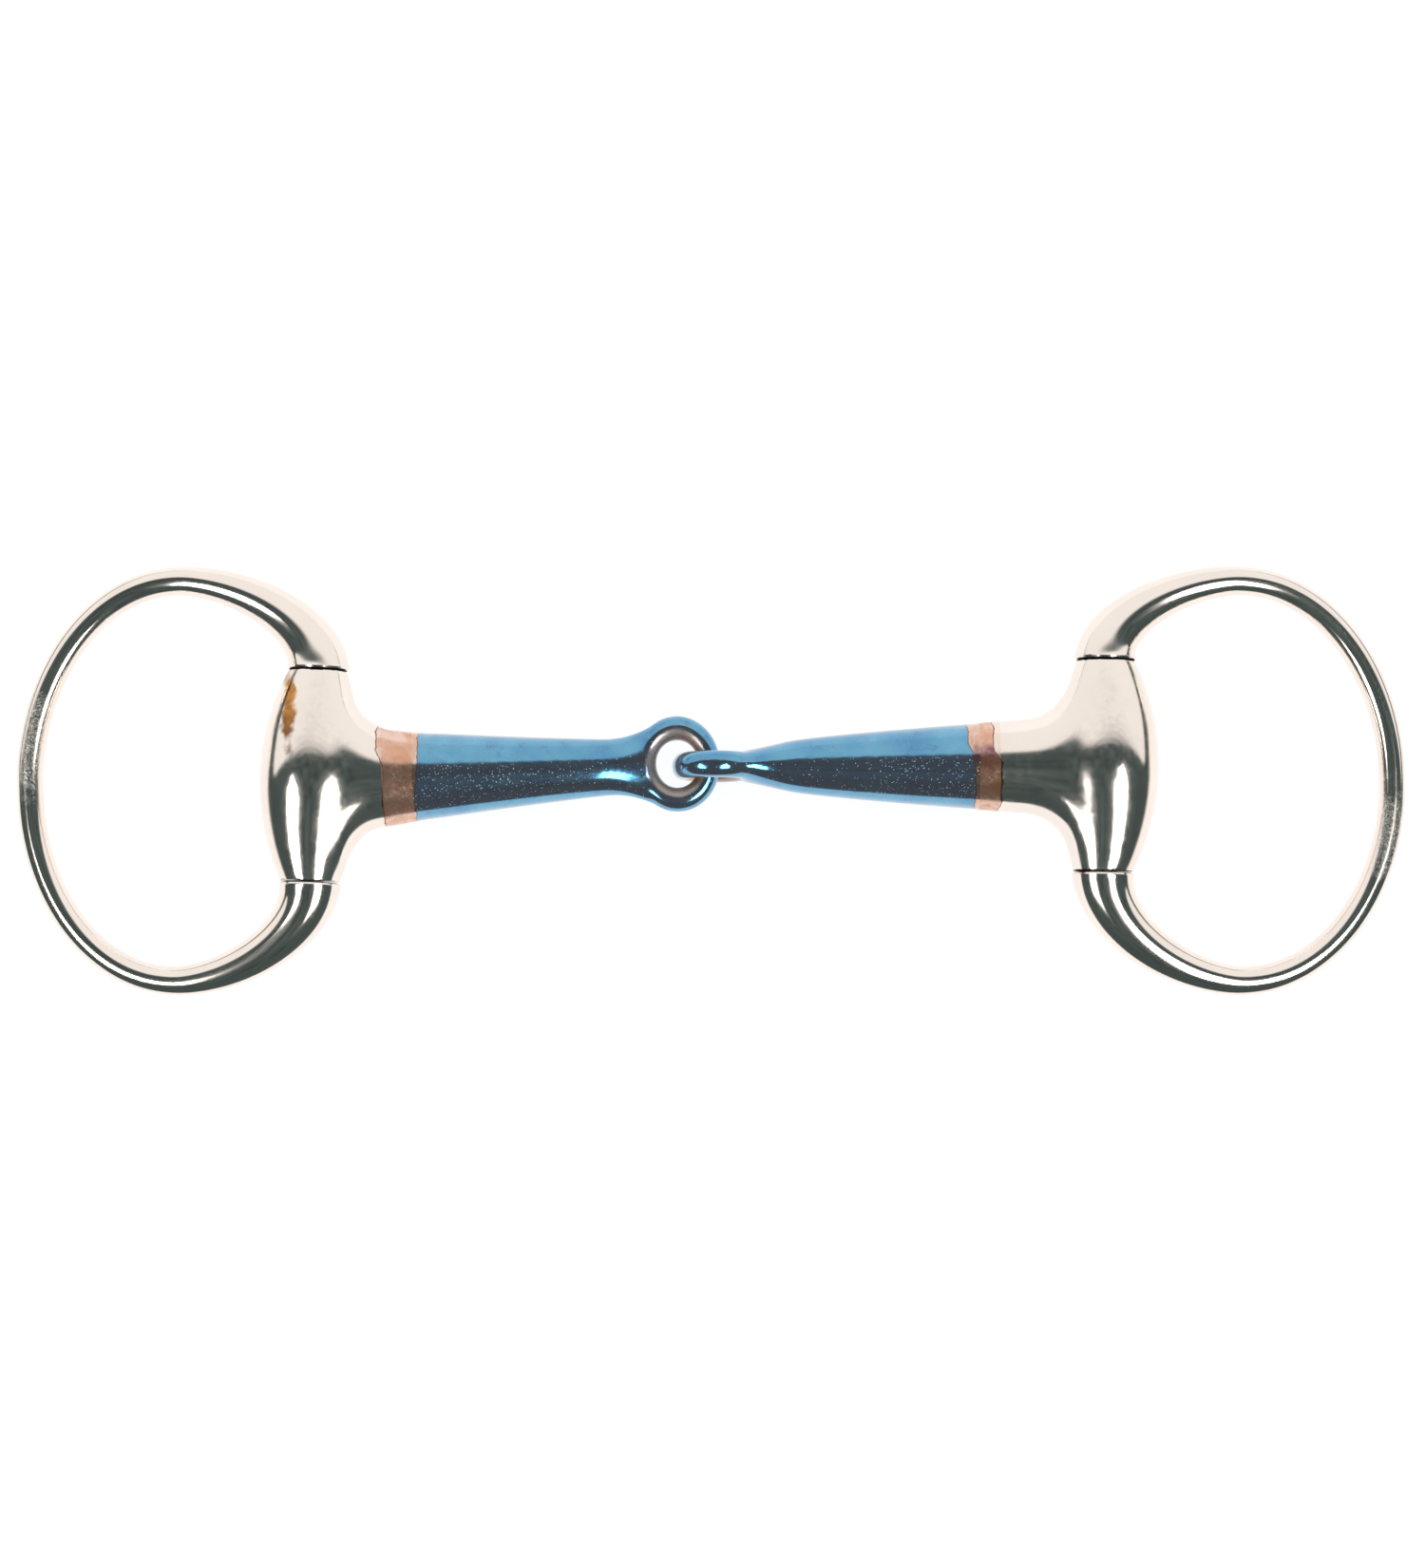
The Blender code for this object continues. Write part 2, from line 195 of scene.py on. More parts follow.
def bent_bar(name, route):
    """A bar in the XY plane that starts along Y. The route is (x, y, diameter) in millimetres."""
    points = [Vector((x, y, 0)) * MM for x, y, _ in route]
    runs = [after - before for before, after in zip(points, points[2:])]
    headings = [math.pi / 2, *(math.atan2(run.y, run.x) for run in runs), math.pi / 2]
    bpy.ops.object.select_all(action="DESELECT")
    turn = (math.pi / 2, 0, 0)
    radius = route[0][2] / 2 * MM
    bpy.ops.mesh.primitive_circle_add(
        vertices=RING_SIDES, radius=radius, fill_type="NGON", location=points[0], rotation=turn
    )
    obj = bpy.context.object
    obj.name = name
    bpy.ops.object.transform_apply(location=True, rotation=True, scale=True)
    in_edit(obj, everything=True)
    for i in range(1, len(points)):
        extruded(points[i] - points[i - 1])
        bend = headings[i - 1] - headings[i]  # the operator turns the other way without a window
        bpy.ops.transform.rotate(value=bend, orient_axis="Z", center_override=points[i])
        change = route[i][2] / route[i - 1][2]
        bpy.ops.transform.resize(value=(change,) * 3, center_override=points[i])
    in_object()
    outward_faces(obj)
    return obj


print("a bent bar has", RING_SIDES, "sides before it is smoothed")

# %% [markdown]
# ## The cheek rings
# The real cheek is one forged loop whose ends swell to the size of the butt. A torus couldn't do
# it, because the loop isn't round and its wire thins from 11.7 mm at the seam to 4.9 mm at the far
# side. So its path is worked out as four quarter curves, and the bar is extruded along it, thinner
# at each station. The whole ring hangs a few degrees down from its hinge to the ground.

# %% The path of a ring
BUTT_HALF_LENGTH, SEAM_GAP = 19.4, 0.4
SEAM = BUTT_HALF_LENGTH + SEAM_GAP  # from the middle of the butt to the ring's end
SEAM_DIAMETER = 11.7
RING_HALF_HEIGHT = 37.4
RING_APEX_OUT = 26.0
RING_THIN, RING_MID = 4.9, 5.3  # wire diameter at the far side, and at the top and bottom
RING_STRAIGHT = 0.8
RING_STEPS = 11
ROOT_POWER = 1.75  # how squarely the ring turns away from the seam: 2 would be an ellipse
ROOT_TAPER = 1.35
ROOT_START = 0.35  # of a step: how much the root has thinned by the end of its straight


def ring_quarter(side, above):
    """From the seam round to just before the far side, as (outwards, up, diameter)."""
    lean = math.atan2(side.up.x, side.up.y) * side.outward
    foot = above * SEAM * math.tan(lean)
    start = SEAM + RING_STRAIGHT
    top = RING_HALF_HEIGHT - above * side.ring_drop
    places = [(foot, above * SEAM, SEAM_DIAMETER)]
    for i in range(RING_STEPS):
        angle = 0.5 * math.pi * i / RING_STEPS
        rise = math.sin(angle) ** (2 / ROOT_POWER)
        out = 1 - math.cos(angle) ** (2 / ROOT_POWER)
        share = max(i, ROOT_START) / RING_STEPS
        thickness = RING_MID + (SEAM_DIAMETER - RING_MID) * (1 - share) ** ROOT_TAPER
        up = above * (start + (top - start) * rise)
        places.append((foot + (RING_APEX_OUT - foot) * out, up, thickness))
    for i in range(RING_STEPS):
        angle = 0.5 * math.pi * i / RING_STEPS
        out = RING_APEX_OUT + (side.reach - RING_APEX_OUT) * math.sin(angle)
        up = above * RING_HALF_HEIGHT * math.cos(angle) - side.ring_drop
        thickness = RING_MID + (RING_THIN - RING_MID) * i / RING_STEPS
        places.append((out, up, thickness))
    cos, sin = math.cos(lean), math.sin(lean)
    return [(u * cos - v * sin, u * sin + v * cos, size) for u, v, size in places]


def ring_route(side):
    """All the way round, from the upper seam over the far side to the lower one."""
    far = (side.reach, -side.ring_drop, RING_THIN)
    return ring_quarter(side, 1) + [far] + ring_quarter(side, -1)[::-1]


def droop_frame(side):
    """Where a flat ring goes: hung on the leaning hinge until its far side rests on the surface."""
    height = side.middle.z / MM - RING_THIN / 2
    droop = math.asin(height / side.reach)
    out = side.out * math.cos(droop) - Z_UP * math.sin(droop)
    turn = Matrix((out, side.up, out.cross(side.up))).transposed().to_4x4()
    print(f"{side.name} ring hangs {math.degrees(droop):.1f} degrees below level")
    return Matrix.Translation(side.middle) @ turn


print("stations round the left ring:", len(ring_route(LEFT)))

# %% [markdown]
# ## The ends of the rings
# Subdivision rounds the wire, and would round the flat ends too. So the ends are opened first and
# closed afterwards. Each then gets the small polished bevel that catches the light at the seam, in
# two extruded steps, and the blind hole that holds the hinge pin.

# %% Flat ends with a rim, and the blind hole for the hinge pin
FLAT = 0.99  # a face is flat on to a direction if its normal agrees with it by this much
RIM_STEPS = ((0.3, 0.12), (0.15, 0.33))  # how far each goes along the bar, and in from its side
RIM_BEVEL = 0.45  # what the steps come to along the bar
SUBDIVISION_SHRINK = 0.9895  # a smoothed circle of 32 corners is this much of its size
PIN_DIAMETER = 4.8
PIN_CLEARANCE = 0.3
SOCKET_DEPTH = 6.0


def face_at(obj, place, direction):
    """Selects the one big flat face that stands at a place, and goes into edit mode."""
    def is_it(face):
        flat = abs(face.normal.dot(direction)) > FLAT and len(face.vertices) > 8
        return flat and abs((face.center - place).dot(direction)) < 0.1 * MM
    pick_faces(obj, is_it)


def ring_end(obj, above):
    """Extends one end by its bevelled rim, then sinks the pin's hole into it."""
    along = Vector((0, -above, 0))  # out of the ring's end, towards the butt
    place = Vector((0, above * (SEAM + RIM_BEVEL), 0)) * MM
    face_at(obj, place, along)
    radius = SEAM_DIAMETER / 2
    for step, shrink in RIM_STEPS:
        extruded(along * step * MM)
        place += along * step * MM
        bpy.ops.transform.resize(value=((radius - shrink) / radius,) * 3, center_override=place)
        radius -= shrink
    hole = PIN_DIAMETER / 2 + PIN_CLEARANCE
    extruded((0, 0, 0))
    bpy.ops.transform.resize(value=(hole / radius,) * 3, center_override=place)
    extruded(along * -SOCKET_DEPTH * MM)
    in_object()


def cheek_ring(side):
    route = ring_route(side)
    for end, above in ((0, 1), (-1, -1)):
        route[end] = (0, above * (SEAM + RIM_BEVEL), SEAM_DIAMETER)
    grown = [(a, b, size / SUBDIVISION_SHRINK) for a, b, size in route]
    ring = bent_bar(side.name + "_cheek_ring", grown)
    pick_faces(ring, lambda face: len(face.vertices) > 4)
    bpy.ops.mesh.delete(type="ONLY_FACE")
    in_object()
    applied(ring, "SUBSURF", levels=2, render_levels=2)
    in_edit(ring, everything=True)
    bpy.ops.mesh.fill_holes(sides=0)
    in_object()
    ring_end(ring, 1)
    ring_end(ring, -1)
    outward_faces(ring)
    put(ring, droop_frame(side))
    return ring


rings = {side.name: cheek_ring(side) for side in (LEFT, RIGHT)}
for ring in rings.values():
    print(ring.name, len(ring.data.polygons), "faces")

# %% [markdown]
# ## The arms
# Butt, neck, braze and cannon are separate metals, but once brazed they were filed and polished as
# one smooth form. So the whole arm is roughed out of overlapping lofts, remeshed into one skin, and
# smoothed the way a file and a buffing wheel would. Only then is it cut where the metals meet, so
# that every joint is flush. Modelling the pieces one by one would leave a step at each joint.
# The first loft is the butt, the barrel that the ring turns on. It bulges towards the ring in a
# curve, and towards the front and back like a roof with a rounded ridge.

# %% The roughed-out butt
BUTT_BULGE = 10.3  # from the hinge to the side that faces the ring
BUTT_HALF_DEPTH = 10.3
BUTT_CROWN = 2.5  # how softly the two slopes of the butt meet over its middle
BUTT_OVERRUN = 22.0  # the rough butt is longer, and is cut to length after smoothing
BUTT_STEPS = 60


def hinge_frame(side):
    """The hinge's own frame in the world: Z up the hinge, X towards the ring."""
    turn = Matrix((side.out, side.up.cross(side.out), side.up)).transposed().to_4x4()
    return Matrix.Translation(side.middle) @ turn


def roof(height):
    """Distance down a roof with a rounded ridge, which is the butt's profile seen from the ring."""
    return math.hypot(height, BUTT_CROWN) - BUTT_CROWN


def rough_butt(side):
    end = SEAM_DIAMETER / 2
    stations = []
    for i in range(BUTT_STEPS + 1):
        height = BUTT_OVERRUN * (2 * i / BUTT_STEPS - 1)
        bulge = end + (BUTT_BULGE - end) * (1 - (height / BUTT_HALF_LENGTH) ** 2)
        depth = end + (BUTT_HALF_DEPTH - end) * (1 - roof(height) / roof(BUTT_HALF_LENGTH))
        stations.append((height, (bulge + depth) / 2, depth, (bulge - depth) / 2))
    return put(lofted(side.name + "_butt", stations), hinge_frame(side))


print(f"the butts are {2 * BUTT_HALF_DEPTH:.1f} mm deep and {2 * BUTT_HALF_LENGTH:.1f} mm long")

# %% [markdown]
# ## The neck
# The neck flows out of the butt in a hollow fillet, the curve that a round file leaves, and then
# tapers slowly to the braze. One more loft gives it, laid across the butt and started inside it.

# %% The roughed-out neck
NECK_HALF_DEPTH = 8.5
NECK_RADIUS, NECK_FLARE = 8.4, 8.9
NECK_TAPER = 6.0
NECK_STEPS = 30
FILLET_FROM, FILLET_TO, FILLET_TOP = 5.8, 14.0, 18.5
FILLET_POWER = 1.7
HIDDEN_AT, HIDDEN_DEPTH, HIDDEN_HEIGHT = -2, 0.6, 0.9  # the neck's start, inside the butt


def neck_half_height(distance):
    """Half height of the neck at a distance from the hinge: a hollow fillet, then a slow taper."""
    if distance < FILLET_TO:
        share = (FILLET_TO - distance) / (FILLET_TO - FILLET_FROM)
        rise = 1 - max(0, 1 - share**FILLET_POWER) ** (1 / FILLET_POWER)
        return NECK_FLARE + (FILLET_TOP - NECK_FLARE) * rise
    share = min(1, (distance - FILLET_TO) / NECK_TAPER)
    return NECK_FLARE + (NECK_RADIUS - NECK_FLARE) * share


def rough_neck(side):
    stations = [(HIDDEN_AT, HIDDEN_DEPTH * NECK_HALF_DEPTH, HIDDEN_HEIGHT * FILLET_TOP, 0)]
    for i in range(NECK_STEPS + 1):
        share = math.cos(0.5 * math.pi * i / NECK_STEPS) ** (2 / FILLET_POWER)
        distance = FILLET_TO - (FILLET_TO - FILLET_FROM) * share
        if distance < side.neck:
            stations.append((distance, NECK_HALF_DEPTH, neck_half_height(distance), 0))
    stations.append((side.neck, NECK_HALF_DEPTH, neck_half_height(side.neck), 0))
    inwards = Vector((-side.outward, 0, 0))
    up = Vector((0, 1, 0))
    turn = Matrix((up.cross(inwards), up, inwards)).transposed().to_4x4()
    return put(lofted(side.name + " neck", stations), Matrix.Translation(side.middle) @ turn)


for side in (LEFT, RIGHT):
    print(f"the {side.name} neck ends {side.neck} mm from its hinge")

# %% [markdown]
# ## The cannon and its eye
# The cannon tapers from the braze to a waist, and then flares out of the eye's plane and into it.
# A straight loft gives the taper and the flare. The eye itself is a torus, because a real one is
# bar that was bent round, and the two are fused later. The rough cannon runs on inside the neck.

# %% The roughed-out cannon
CANNON_LENGTH = 47.2
ROOT_WIDTH, ROOT_THICK = 8.15, 7.9  # half sizes, in the eye's plane and out of it
WAIST_WIDTH, WAIST_THICK = 5.3, 4.5
WAIST_AT = 12.6
EYE_ALONG, EYE_ACROSS = 8.15, 8.9
EYE_HOLE_ALONG, EYE_HOLE_ACROSS = 3.75, 4.5
EYE_HALF_THICK = 2.6
FLARE_FROM, WEB_FROM = 3.2, 5.0
FLARE_CURVE, WIDTH_CURVE, THICK_CURVE = 1.2, 1.15, 0.75  # powers: 1 would be a straight slope
FLARE_STEPS, CANNON_STEPS = 16, 24
RUN_ON, RUN_ON_SHARE = 3, 0.8


def arm_frame(side):
    """The arm's own frame in the world: Z from the eye's middle towards the butt, Y across the eye."""
    tilt = math.radians(side.tilt)
    along = Vector((side.outward * math.cos(tilt), -math.sin(tilt), 0))
    braze_face = side.middle - Vector((side.outward, 0, 0)) * (side.neck + side.braze) * MM
    eye = braze_face - along * CANNON_LENGTH * MM
    across = Z_UP.cross(along) if side.eye_flat else Z_UP
    turn = Matrix((across.cross(along), across, along)).transposed().to_4x4()
    return Matrix.Translation(eye) @ turn


def between(low, high, share):
    """The value a share of the way from low to high."""
    return low + (high - low) * share


def rough_cannon(side):
    stations = []
    flare_width = EYE_ACROSS * math.sqrt(1 - (FLARE_FROM / EYE_ALONG) ** 2)
    for i in range(FLARE_STEPS):
        place = between(WEB_FROM, WAIST_AT, i / FLARE_STEPS)
        share = (place - FLARE_FROM) / (WAIST_AT - FLARE_FROM)
        width = between(WAIST_WIDTH, flare_width, (1 - share) ** 2)
        thick = between(EYE_HALF_THICK, WAIST_THICK, share**FLARE_CURVE)
        stations.append((place, thick, width, 0))
    for i in range(CANNON_STEPS + 1):
        share = i / CANNON_STEPS
        width = between(WAIST_WIDTH, ROOT_WIDTH, share**WIDTH_CURVE)
        thick = between(WAIST_THICK, ROOT_THICK, share**THICK_CURVE)
        stations.append((between(WAIST_AT, CANNON_LENGTH, share), thick, width, 0))
    neck_end = (NECK_HALF_DEPTH, neck_half_height(side.neck))
    thick, width = neck_end if side.eye_flat else neck_end[::-1]
    end = CANNON_LENGTH + side.braze
    stations.append((end, thick, width, 0))
    stations.append((end + RUN_ON, RUN_ON_SHARE * thick, RUN_ON_SHARE * width, 0))
    return put(lofted(side.name + " cannon", stations), arm_frame(side))


print(f"an arm is {CANNON_LENGTH} mm long, from the eye's middle to the braze")

# %% The roughed-out eye
EYE_SEGMENTS, EYE_WIRE_SIDES = 72, 28


def rough_eye(side):
    """The eye starts as a torus, drawn to an oval and thickened out of its plane."""
    wire = (EYE_ALONG - EYE_HOLE_ALONG) / 2
    along, across = EYE_ALONG - wire, EYE_ACROSS - wire
    mean = (along + across) / 2
    bpy.ops.object.select_all(action="DESELECT")
    bpy.ops.mesh.primitive_torus_add(
        major_segments=EYE_SEGMENTS, minor_segments=EYE_WIRE_SIDES,
        major_radius=mean * MM, minor_radius=wire * MM, rotation=(0, math.pi / 2, 0),
    )
    eye = bpy.context.object
    bpy.ops.object.transform_apply(location=True, rotation=True, scale=True)
    in_edit(eye, everything=True)
    stretch = (EYE_HALF_THICK / wire, across / mean, along / mean)
    bpy.ops.transform.resize(value=stretch, center_override=(0, 0, 0))
    in_object()
    return put(eye, arm_frame(side))


print(f"the hole in an eye is {2 * EYE_HOLE_ALONG} x {2 * EYE_HOLE_ACROSS} mm")

# %% [markdown]
# ## One skin, filed smooth
# Joining the rough parts only puts them in one mesh. Remeshing in small voxels fuses them into one
# skin, and smoothing then draws the steps out of it. The neck needs more of that than the arm, so
# it is smoothed again within some distances from the hinge, each shorter than the last.

# %% One skin, filed smooth
SKIN_VOXEL = 0.3
FILE_PASSES = 22  # over the whole arm
BLEND_PASSES = 35  # for each reach: more, where the neck flows into the butt
BLEND_REACHES = (22.0, 19.0, 16.5, 14.5)  # from the hinge, so that the smoothing fades out


def one_skin(side):
    parts = [make(side) for make in (rough_butt, rough_neck, rough_cannon, rough_eye)]
    alone(parts[0])
    for part in parts:
        part.select_set(True)
    bpy.ops.object.join()
    arm = parts[0]
    arm.name = side.name + "_arm"
    applied(arm, "REMESH", mode="VOXEL", voxel_size=SKIN_VOXEL * MM)
    in_edit(arm, everything=True)
    bpy.ops.mesh.vertices_smooth(factor=0.5, repeat=FILE_PASSES)
    in_object()
    for reach in BLEND_REACHES:
        pick_faces(arm, lambda face: abs((face.center - side.middle).dot(side.out)) < reach * MM)
        bpy.ops.mesh.vertices_smooth(factor=0.5, repeat=BLEND_PASSES)
        in_object()
    return arm


arms = {side.name: one_skin(side) for side in (LEFT, RIGHT)}
for arm in arms.values():
    print(arm.name, len(arm.data.polygons), "faces in one skin")

# %% [markdown]
# ## Cut where the metals meet
# Bisecting a copy of the skin with planes gives each metal its own closed piece, and the pieces
# meet without a step. The butt is bored for the hinge pin, and the cannon ends in a round tenon
# that is brazed into a socket in the neck. Such cuts can leave a face inside the skin or a few
# corners on top of each other, which would spoil the mesh, so each piece is healed after them.

# %% Tools for cutting
DRILL_SIDES = 40
WELD = 0.004  # corners closer than this after a cut become one


def part_of(arm, name, cuts):
    """A copy of the arm cut by planes, each (place, direction of what is thrown away)."""
    piece = arm.copy()
    piece.data = arm.data.copy()
    piece.name = piece.data.name = name
    bpy.context.scene.collection.objects.link(piece)
    for place, away in cuts:
        in_edit(piece, everything=True)
        bpy.ops.mesh.bisect(plane_co=place, plane_no=away, use_fill=True, clear_outer=True)
        in_object()
    return piece


def drilled(piece, start, end, radius):
    """Takes a round hole out of the piece, from one place to another."""
    run = end - start
    turn = run.to_track_quat("Z", "Y").to_euler()
    bpy.ops.object.select_all(action="DESELECT")
    bpy.ops.mesh.primitive_cylinder_add(
        vertices=DRILL_SIDES, radius=radius * MM, depth=run.length,
        location=(start + end) / 2, rotation=turn,
    )
    drill = bpy.context.object
    applied(piece, "BOOLEAN", operation="DIFFERENCE", solver="EXACT", object=drill)
    bpy.data.objects.remove(drill)
    in_edit(piece, everything=True)
    bpy.ops.mesh.remove_doubles(threshold=WELD * MM)
    in_object()


def healed(piece):
    """Takes out any face that the cuts left inside the skin, and closes the hole behind it."""
    in_edit(piece)
    bpy.ops.mesh.select_interior_faces()
    bpy.ops.mesh.delete(type="ONLY_FACE")
    bpy.ops.mesh.select_all(action="SELECT")
    bpy.ops.mesh.fill_holes(sides=0)
    in_object()
    outward_faces(piece)


print("tools for cutting ready")

# %% Butt, collar and cannon
BORE_RADIUS = PIN_DIAMETER / 2 + PIN_CLEARANCE
BORE_PAST = 3  # how far the drill starts outside the butt
TENON_RADIUS = 5.0
TENON_IN_BUTT = 7.0
STEEL_LAP, IRON_LAP = 0.7, 1.7  # how far each metal reaches under the ragged edge of the copper


def arm_pieces(side, arm):
    """Cuts one arm up into butt, collar and cannon, with the tenon of one in the others."""
    place = arm_frame(side)
    along = place.to_3x3() @ Z_UP
    cannon_end = place @ Vector((0, 0, CANNON_LENGTH * MM))
    neck_end = cannon_end + along * side.braze * MM
    copper_end, copper_start = neck_end - along * STEEL_LAP * MM, cannon_end + along * IRON_LAP * MM
    up = side.up * BUTT_HALF_LENGTH * MM
    seams = [(side.middle + up * sign, side.up * sign) for sign in (1, -1)]
    butt = part_of(arm, side.name + "_steel_butt", [*seams, (copper_end, -along)])
    collar = part_of(arm, side.name + "_copper_braze", [(copper_end, along), (copper_start, -along)])
    cannon = part_of(arm, side.name + "_iron_cannon", [(copper_start, along)])
    bore = side.up * (BUTT_HALF_LENGTH + BORE_PAST) * MM
    drilled(butt, side.middle - bore, side.middle + bore, BORE_RADIUS)
    socket = TENON_RADIUS + PIN_CLEARANCE
    socket_end = neck_end + along * (TENON_IN_BUTT + PIN_CLEARANCE) * MM
    drilled(butt, copper_end - along * MM, socket_end, socket)
    drilled(collar, cannon_end - along * MM, neck_end + along * MM, socket)
    face_at(cannon, copper_start, along)
    extruded((0, 0, 0))
    size = TENON_RADIUS / ((ROOT_WIDTH + ROOT_THICK) / 2)
    bpy.ops.transform.resize(value=(size,) * 3, center_override=copper_start)
    extruded(along * (side.braze + TENON_IN_BUTT - IRON_LAP) * MM)
    in_object()
    bpy.data.objects.remove(arm)
    for piece in (butt, collar, cannon):
        healed(piece)
    return SimpleNamespace(butt=butt, collar=collar, cannon=cannon)


pieces = {side.name: arm_pieces(side, arms[side.name]) for side in (LEFT, RIGHT)}
for name, made in pieces.items():
    print(name, [(p.name, len(p.data.polygons)) for p in (made.butt, made.collar, made.cannon)])

# %% [markdown]
# ## Smooth shading
# Polished metal shows every facet, so all the faces are shaded smooth, except over real edges such
# as a seam's rim or the mouth of a bore. An angle between the two kinds tells them apart.

# %% Shade smooth, except over real edges
EDGE_ANGLE = 32

for side in (LEFT, RIGHT):
    made = pieces[side.name]
    for piece in (rings[side.name], made.butt, made.collar, made.cannon):
        alone(piece)
        bpy.ops.object.shade_smooth_by_angle(angle=math.radians(EDGE_ANGLE))
print("shaded smooth, with edges from", EDGE_ANGLE, "degrees on")

# %% [markdown]
# ## Materials
# All patterns are procedural and sit on the object's own coordinates, in metres, so a feature size
# in millimetres turns into a texture scale by one division. Colours are written as the hex codes
# that a paint program shows, and one function turns them into the linear values that light needs.
# One small function adds any node with its settings and its links, so a material reads as a recipe.

# %% Helpers for materials
def linear(code):
    """An sRGB hex code as linear RGBA."""
    values = [int(code[i : i + 2], 16) / 255 for i in (1, 3, 5)]
    return [v / 12.92 if v <= 0.04045 else ((v + 0.055) / 1.055) ** 2.4 for v in values] + [1]


def add(tree, kind, *sources, out=None, **settings):
    """Adds a node, and gives the output that was asked for, or else the first that it shows.

    The sources are values or outputs for its inputs, in the order in which the node shows them.
    A setting with a capital letter is an input too, and any other is a property of the node."""
    node = tree.nodes.new("ShaderNode" + kind)
    feeds = []
    for name, value in settings.items():
        if name[0].isupper():
            feeds.append((node.inputs[name], value))
        else:
            setattr(node, name, value)
    feeds += zip([socket for socket in node.inputs if socket.enabled], sources)
    for socket, source in feeds:
        if isinstance(source, bpy.types.NodeSocket):
            tree.links.new(source, socket)
        else:
            socket.default_value = source
    return node.outputs[out] if out else next(socket for socket in node.outputs if socket.enabled)


def blank(name):
    """A new material, with its node tree and its shader."""
    material = bpy.data.materials.new(name)
    material.use_nodes = True
    return material, material.node_tree, material.node_tree.nodes["Principled BSDF"]


def metal(tree, shader, colour, roughness, bump=None):
    """Makes the shader a bare metal with this colour, roughness and bump."""
    shader.inputs["Metallic"].default_value = 1
    tree.links.new(colour, shader.inputs["Base Color"])
    tree.links.new(roughness, shader.inputs["Roughness"])
    if bump:
        tree.links.new(bump, shader.inputs["Normal"])


def per_mm(size):
    """The texture scale that gives features of a size in millimetres."""
    return 1 / (size * MM)


print("the steel's lightest colour, linear:", [round(value, 3) for value in linear("#F8EDE3")])

# %% [markdown]
# ## Patches and winding lines
# Marks of handling and heat have no straight edges. A patch is an oval whose edge is pushed in and
# out by noise. A winding line is drawn where a noise pattern crosses its middle value, like one
# contour on a map, and so it wanders and closes on itself as scratches and scum lines do.

# %% Patches and winding lines
def patch(tree, place, centre, half_sizes, ragged, grain, soft):
    """A share that is 1 inside an oval round a centre and 0 outside, with a ragged edge.

    A half size of None leaves that direction out, which makes the oval a band."""
    scale = [0 if half is None else 1 / (half * MM) for half in half_sizes]
    shift = [-c * MM * s for c, s in zip(centre, scale)]
    local = add(tree, "Mapping", place, shift, Scale=scale)
    away = add(tree, "VectorMath", local, operation="LENGTH")
    edge = add(tree, "TexNoise", place, per_mm(grain), 3)
    wobble = add(tree, "MapRange", edge, 0.3, 0.7, -ragged, ragged, clamp=False)
    rough = add(tree, "Math", away, wobble, operation="ADD")
    return add(tree, "MapRange", rough, 1 + soft, 1 - soft)


def winding_line(tree, pattern, width):
    """A share that is 1 where a pattern crosses its middle, and fades to 0 at a width from it."""
    beside = add(tree, "Math", pattern, 0.5, operation="SUBTRACT")
    return add(tree, "MapRange", add(tree, "Math", beside, operation="ABSOLUTE"), width, 0)


print("helpers for marks ready")

# %% [markdown]
# ## Polished stainless steel
# The cheeks and butts are forged stainless, ground and then buffed on a mop. Buffing leaves a
# mirror that is a little warm, with faint swirls that only show where something dark is reflected.
# A fine, shallow bump stands for the mop lines, and a slow change in colour for handling. Real mop
# lines are finer than these, which are as coarse as they need to be to show at all.

# %% Buffed stainless, clean
STEEL_WARM = linear("#F8EDE3")
STEEL_COOL = linear("#ECE2DA")
HANDLING, SWIRL, MOP_LINE = 9, 1.6, 0.35  # sizes of the patterns
STEEL_GLOSS = (0.12, 0.2)
STEEL_BUMP = (0.05, 0.02 * MM)  # strength and distance


def stainless(tree, place):
    """Colour, roughness and bump of clean buffed stainless."""
    handled = add(tree, "TexNoise", place, per_mm(HANDLING), 2)
    colour = add(tree, "Mix", handled, STEEL_COOL, STEEL_WARM, data_type="RGBA")
    drawn = add(tree, "Mapping", place, Scale=(1, 0.22, 1))
    lines = add(tree, "TexNoise", drawn, per_mm(MOP_LINE), 2)
    swirl = add(tree, "TexNoise", place, per_mm(SWIRL), 4, Distortion=1.2)
    roughness = add(tree, "MapRange", swirl, 0.35, 0.75, *STEEL_GLOSS)
    height = add(tree, "Math", swirl, 0.4, lines, operation="MULTIPLY_ADD")
    return colour, roughness, add(tree, "Bump", *STEEL_BUMP, Height=height)


print("clean stainless is between", STEEL_GLOSS, "rough")

# %% [markdown]
# ## Scuffed rings
# The far side of each ring is where it knocks against stone and buckles. The scuffs are bright,
# winding scratches in a slightly duller patch, so they're added to the clean steel as a patch.

# %% Stainless for the rings, with scuffs
STEEL_SCUFF = linear("#FFF8F0")
SCUFFED = {"left": (-127, 8, 3), "right": (127, -10, 3)}
SCUFF_HALF_SIZES = (4, 9, 9)
SCRATCH = 0.9


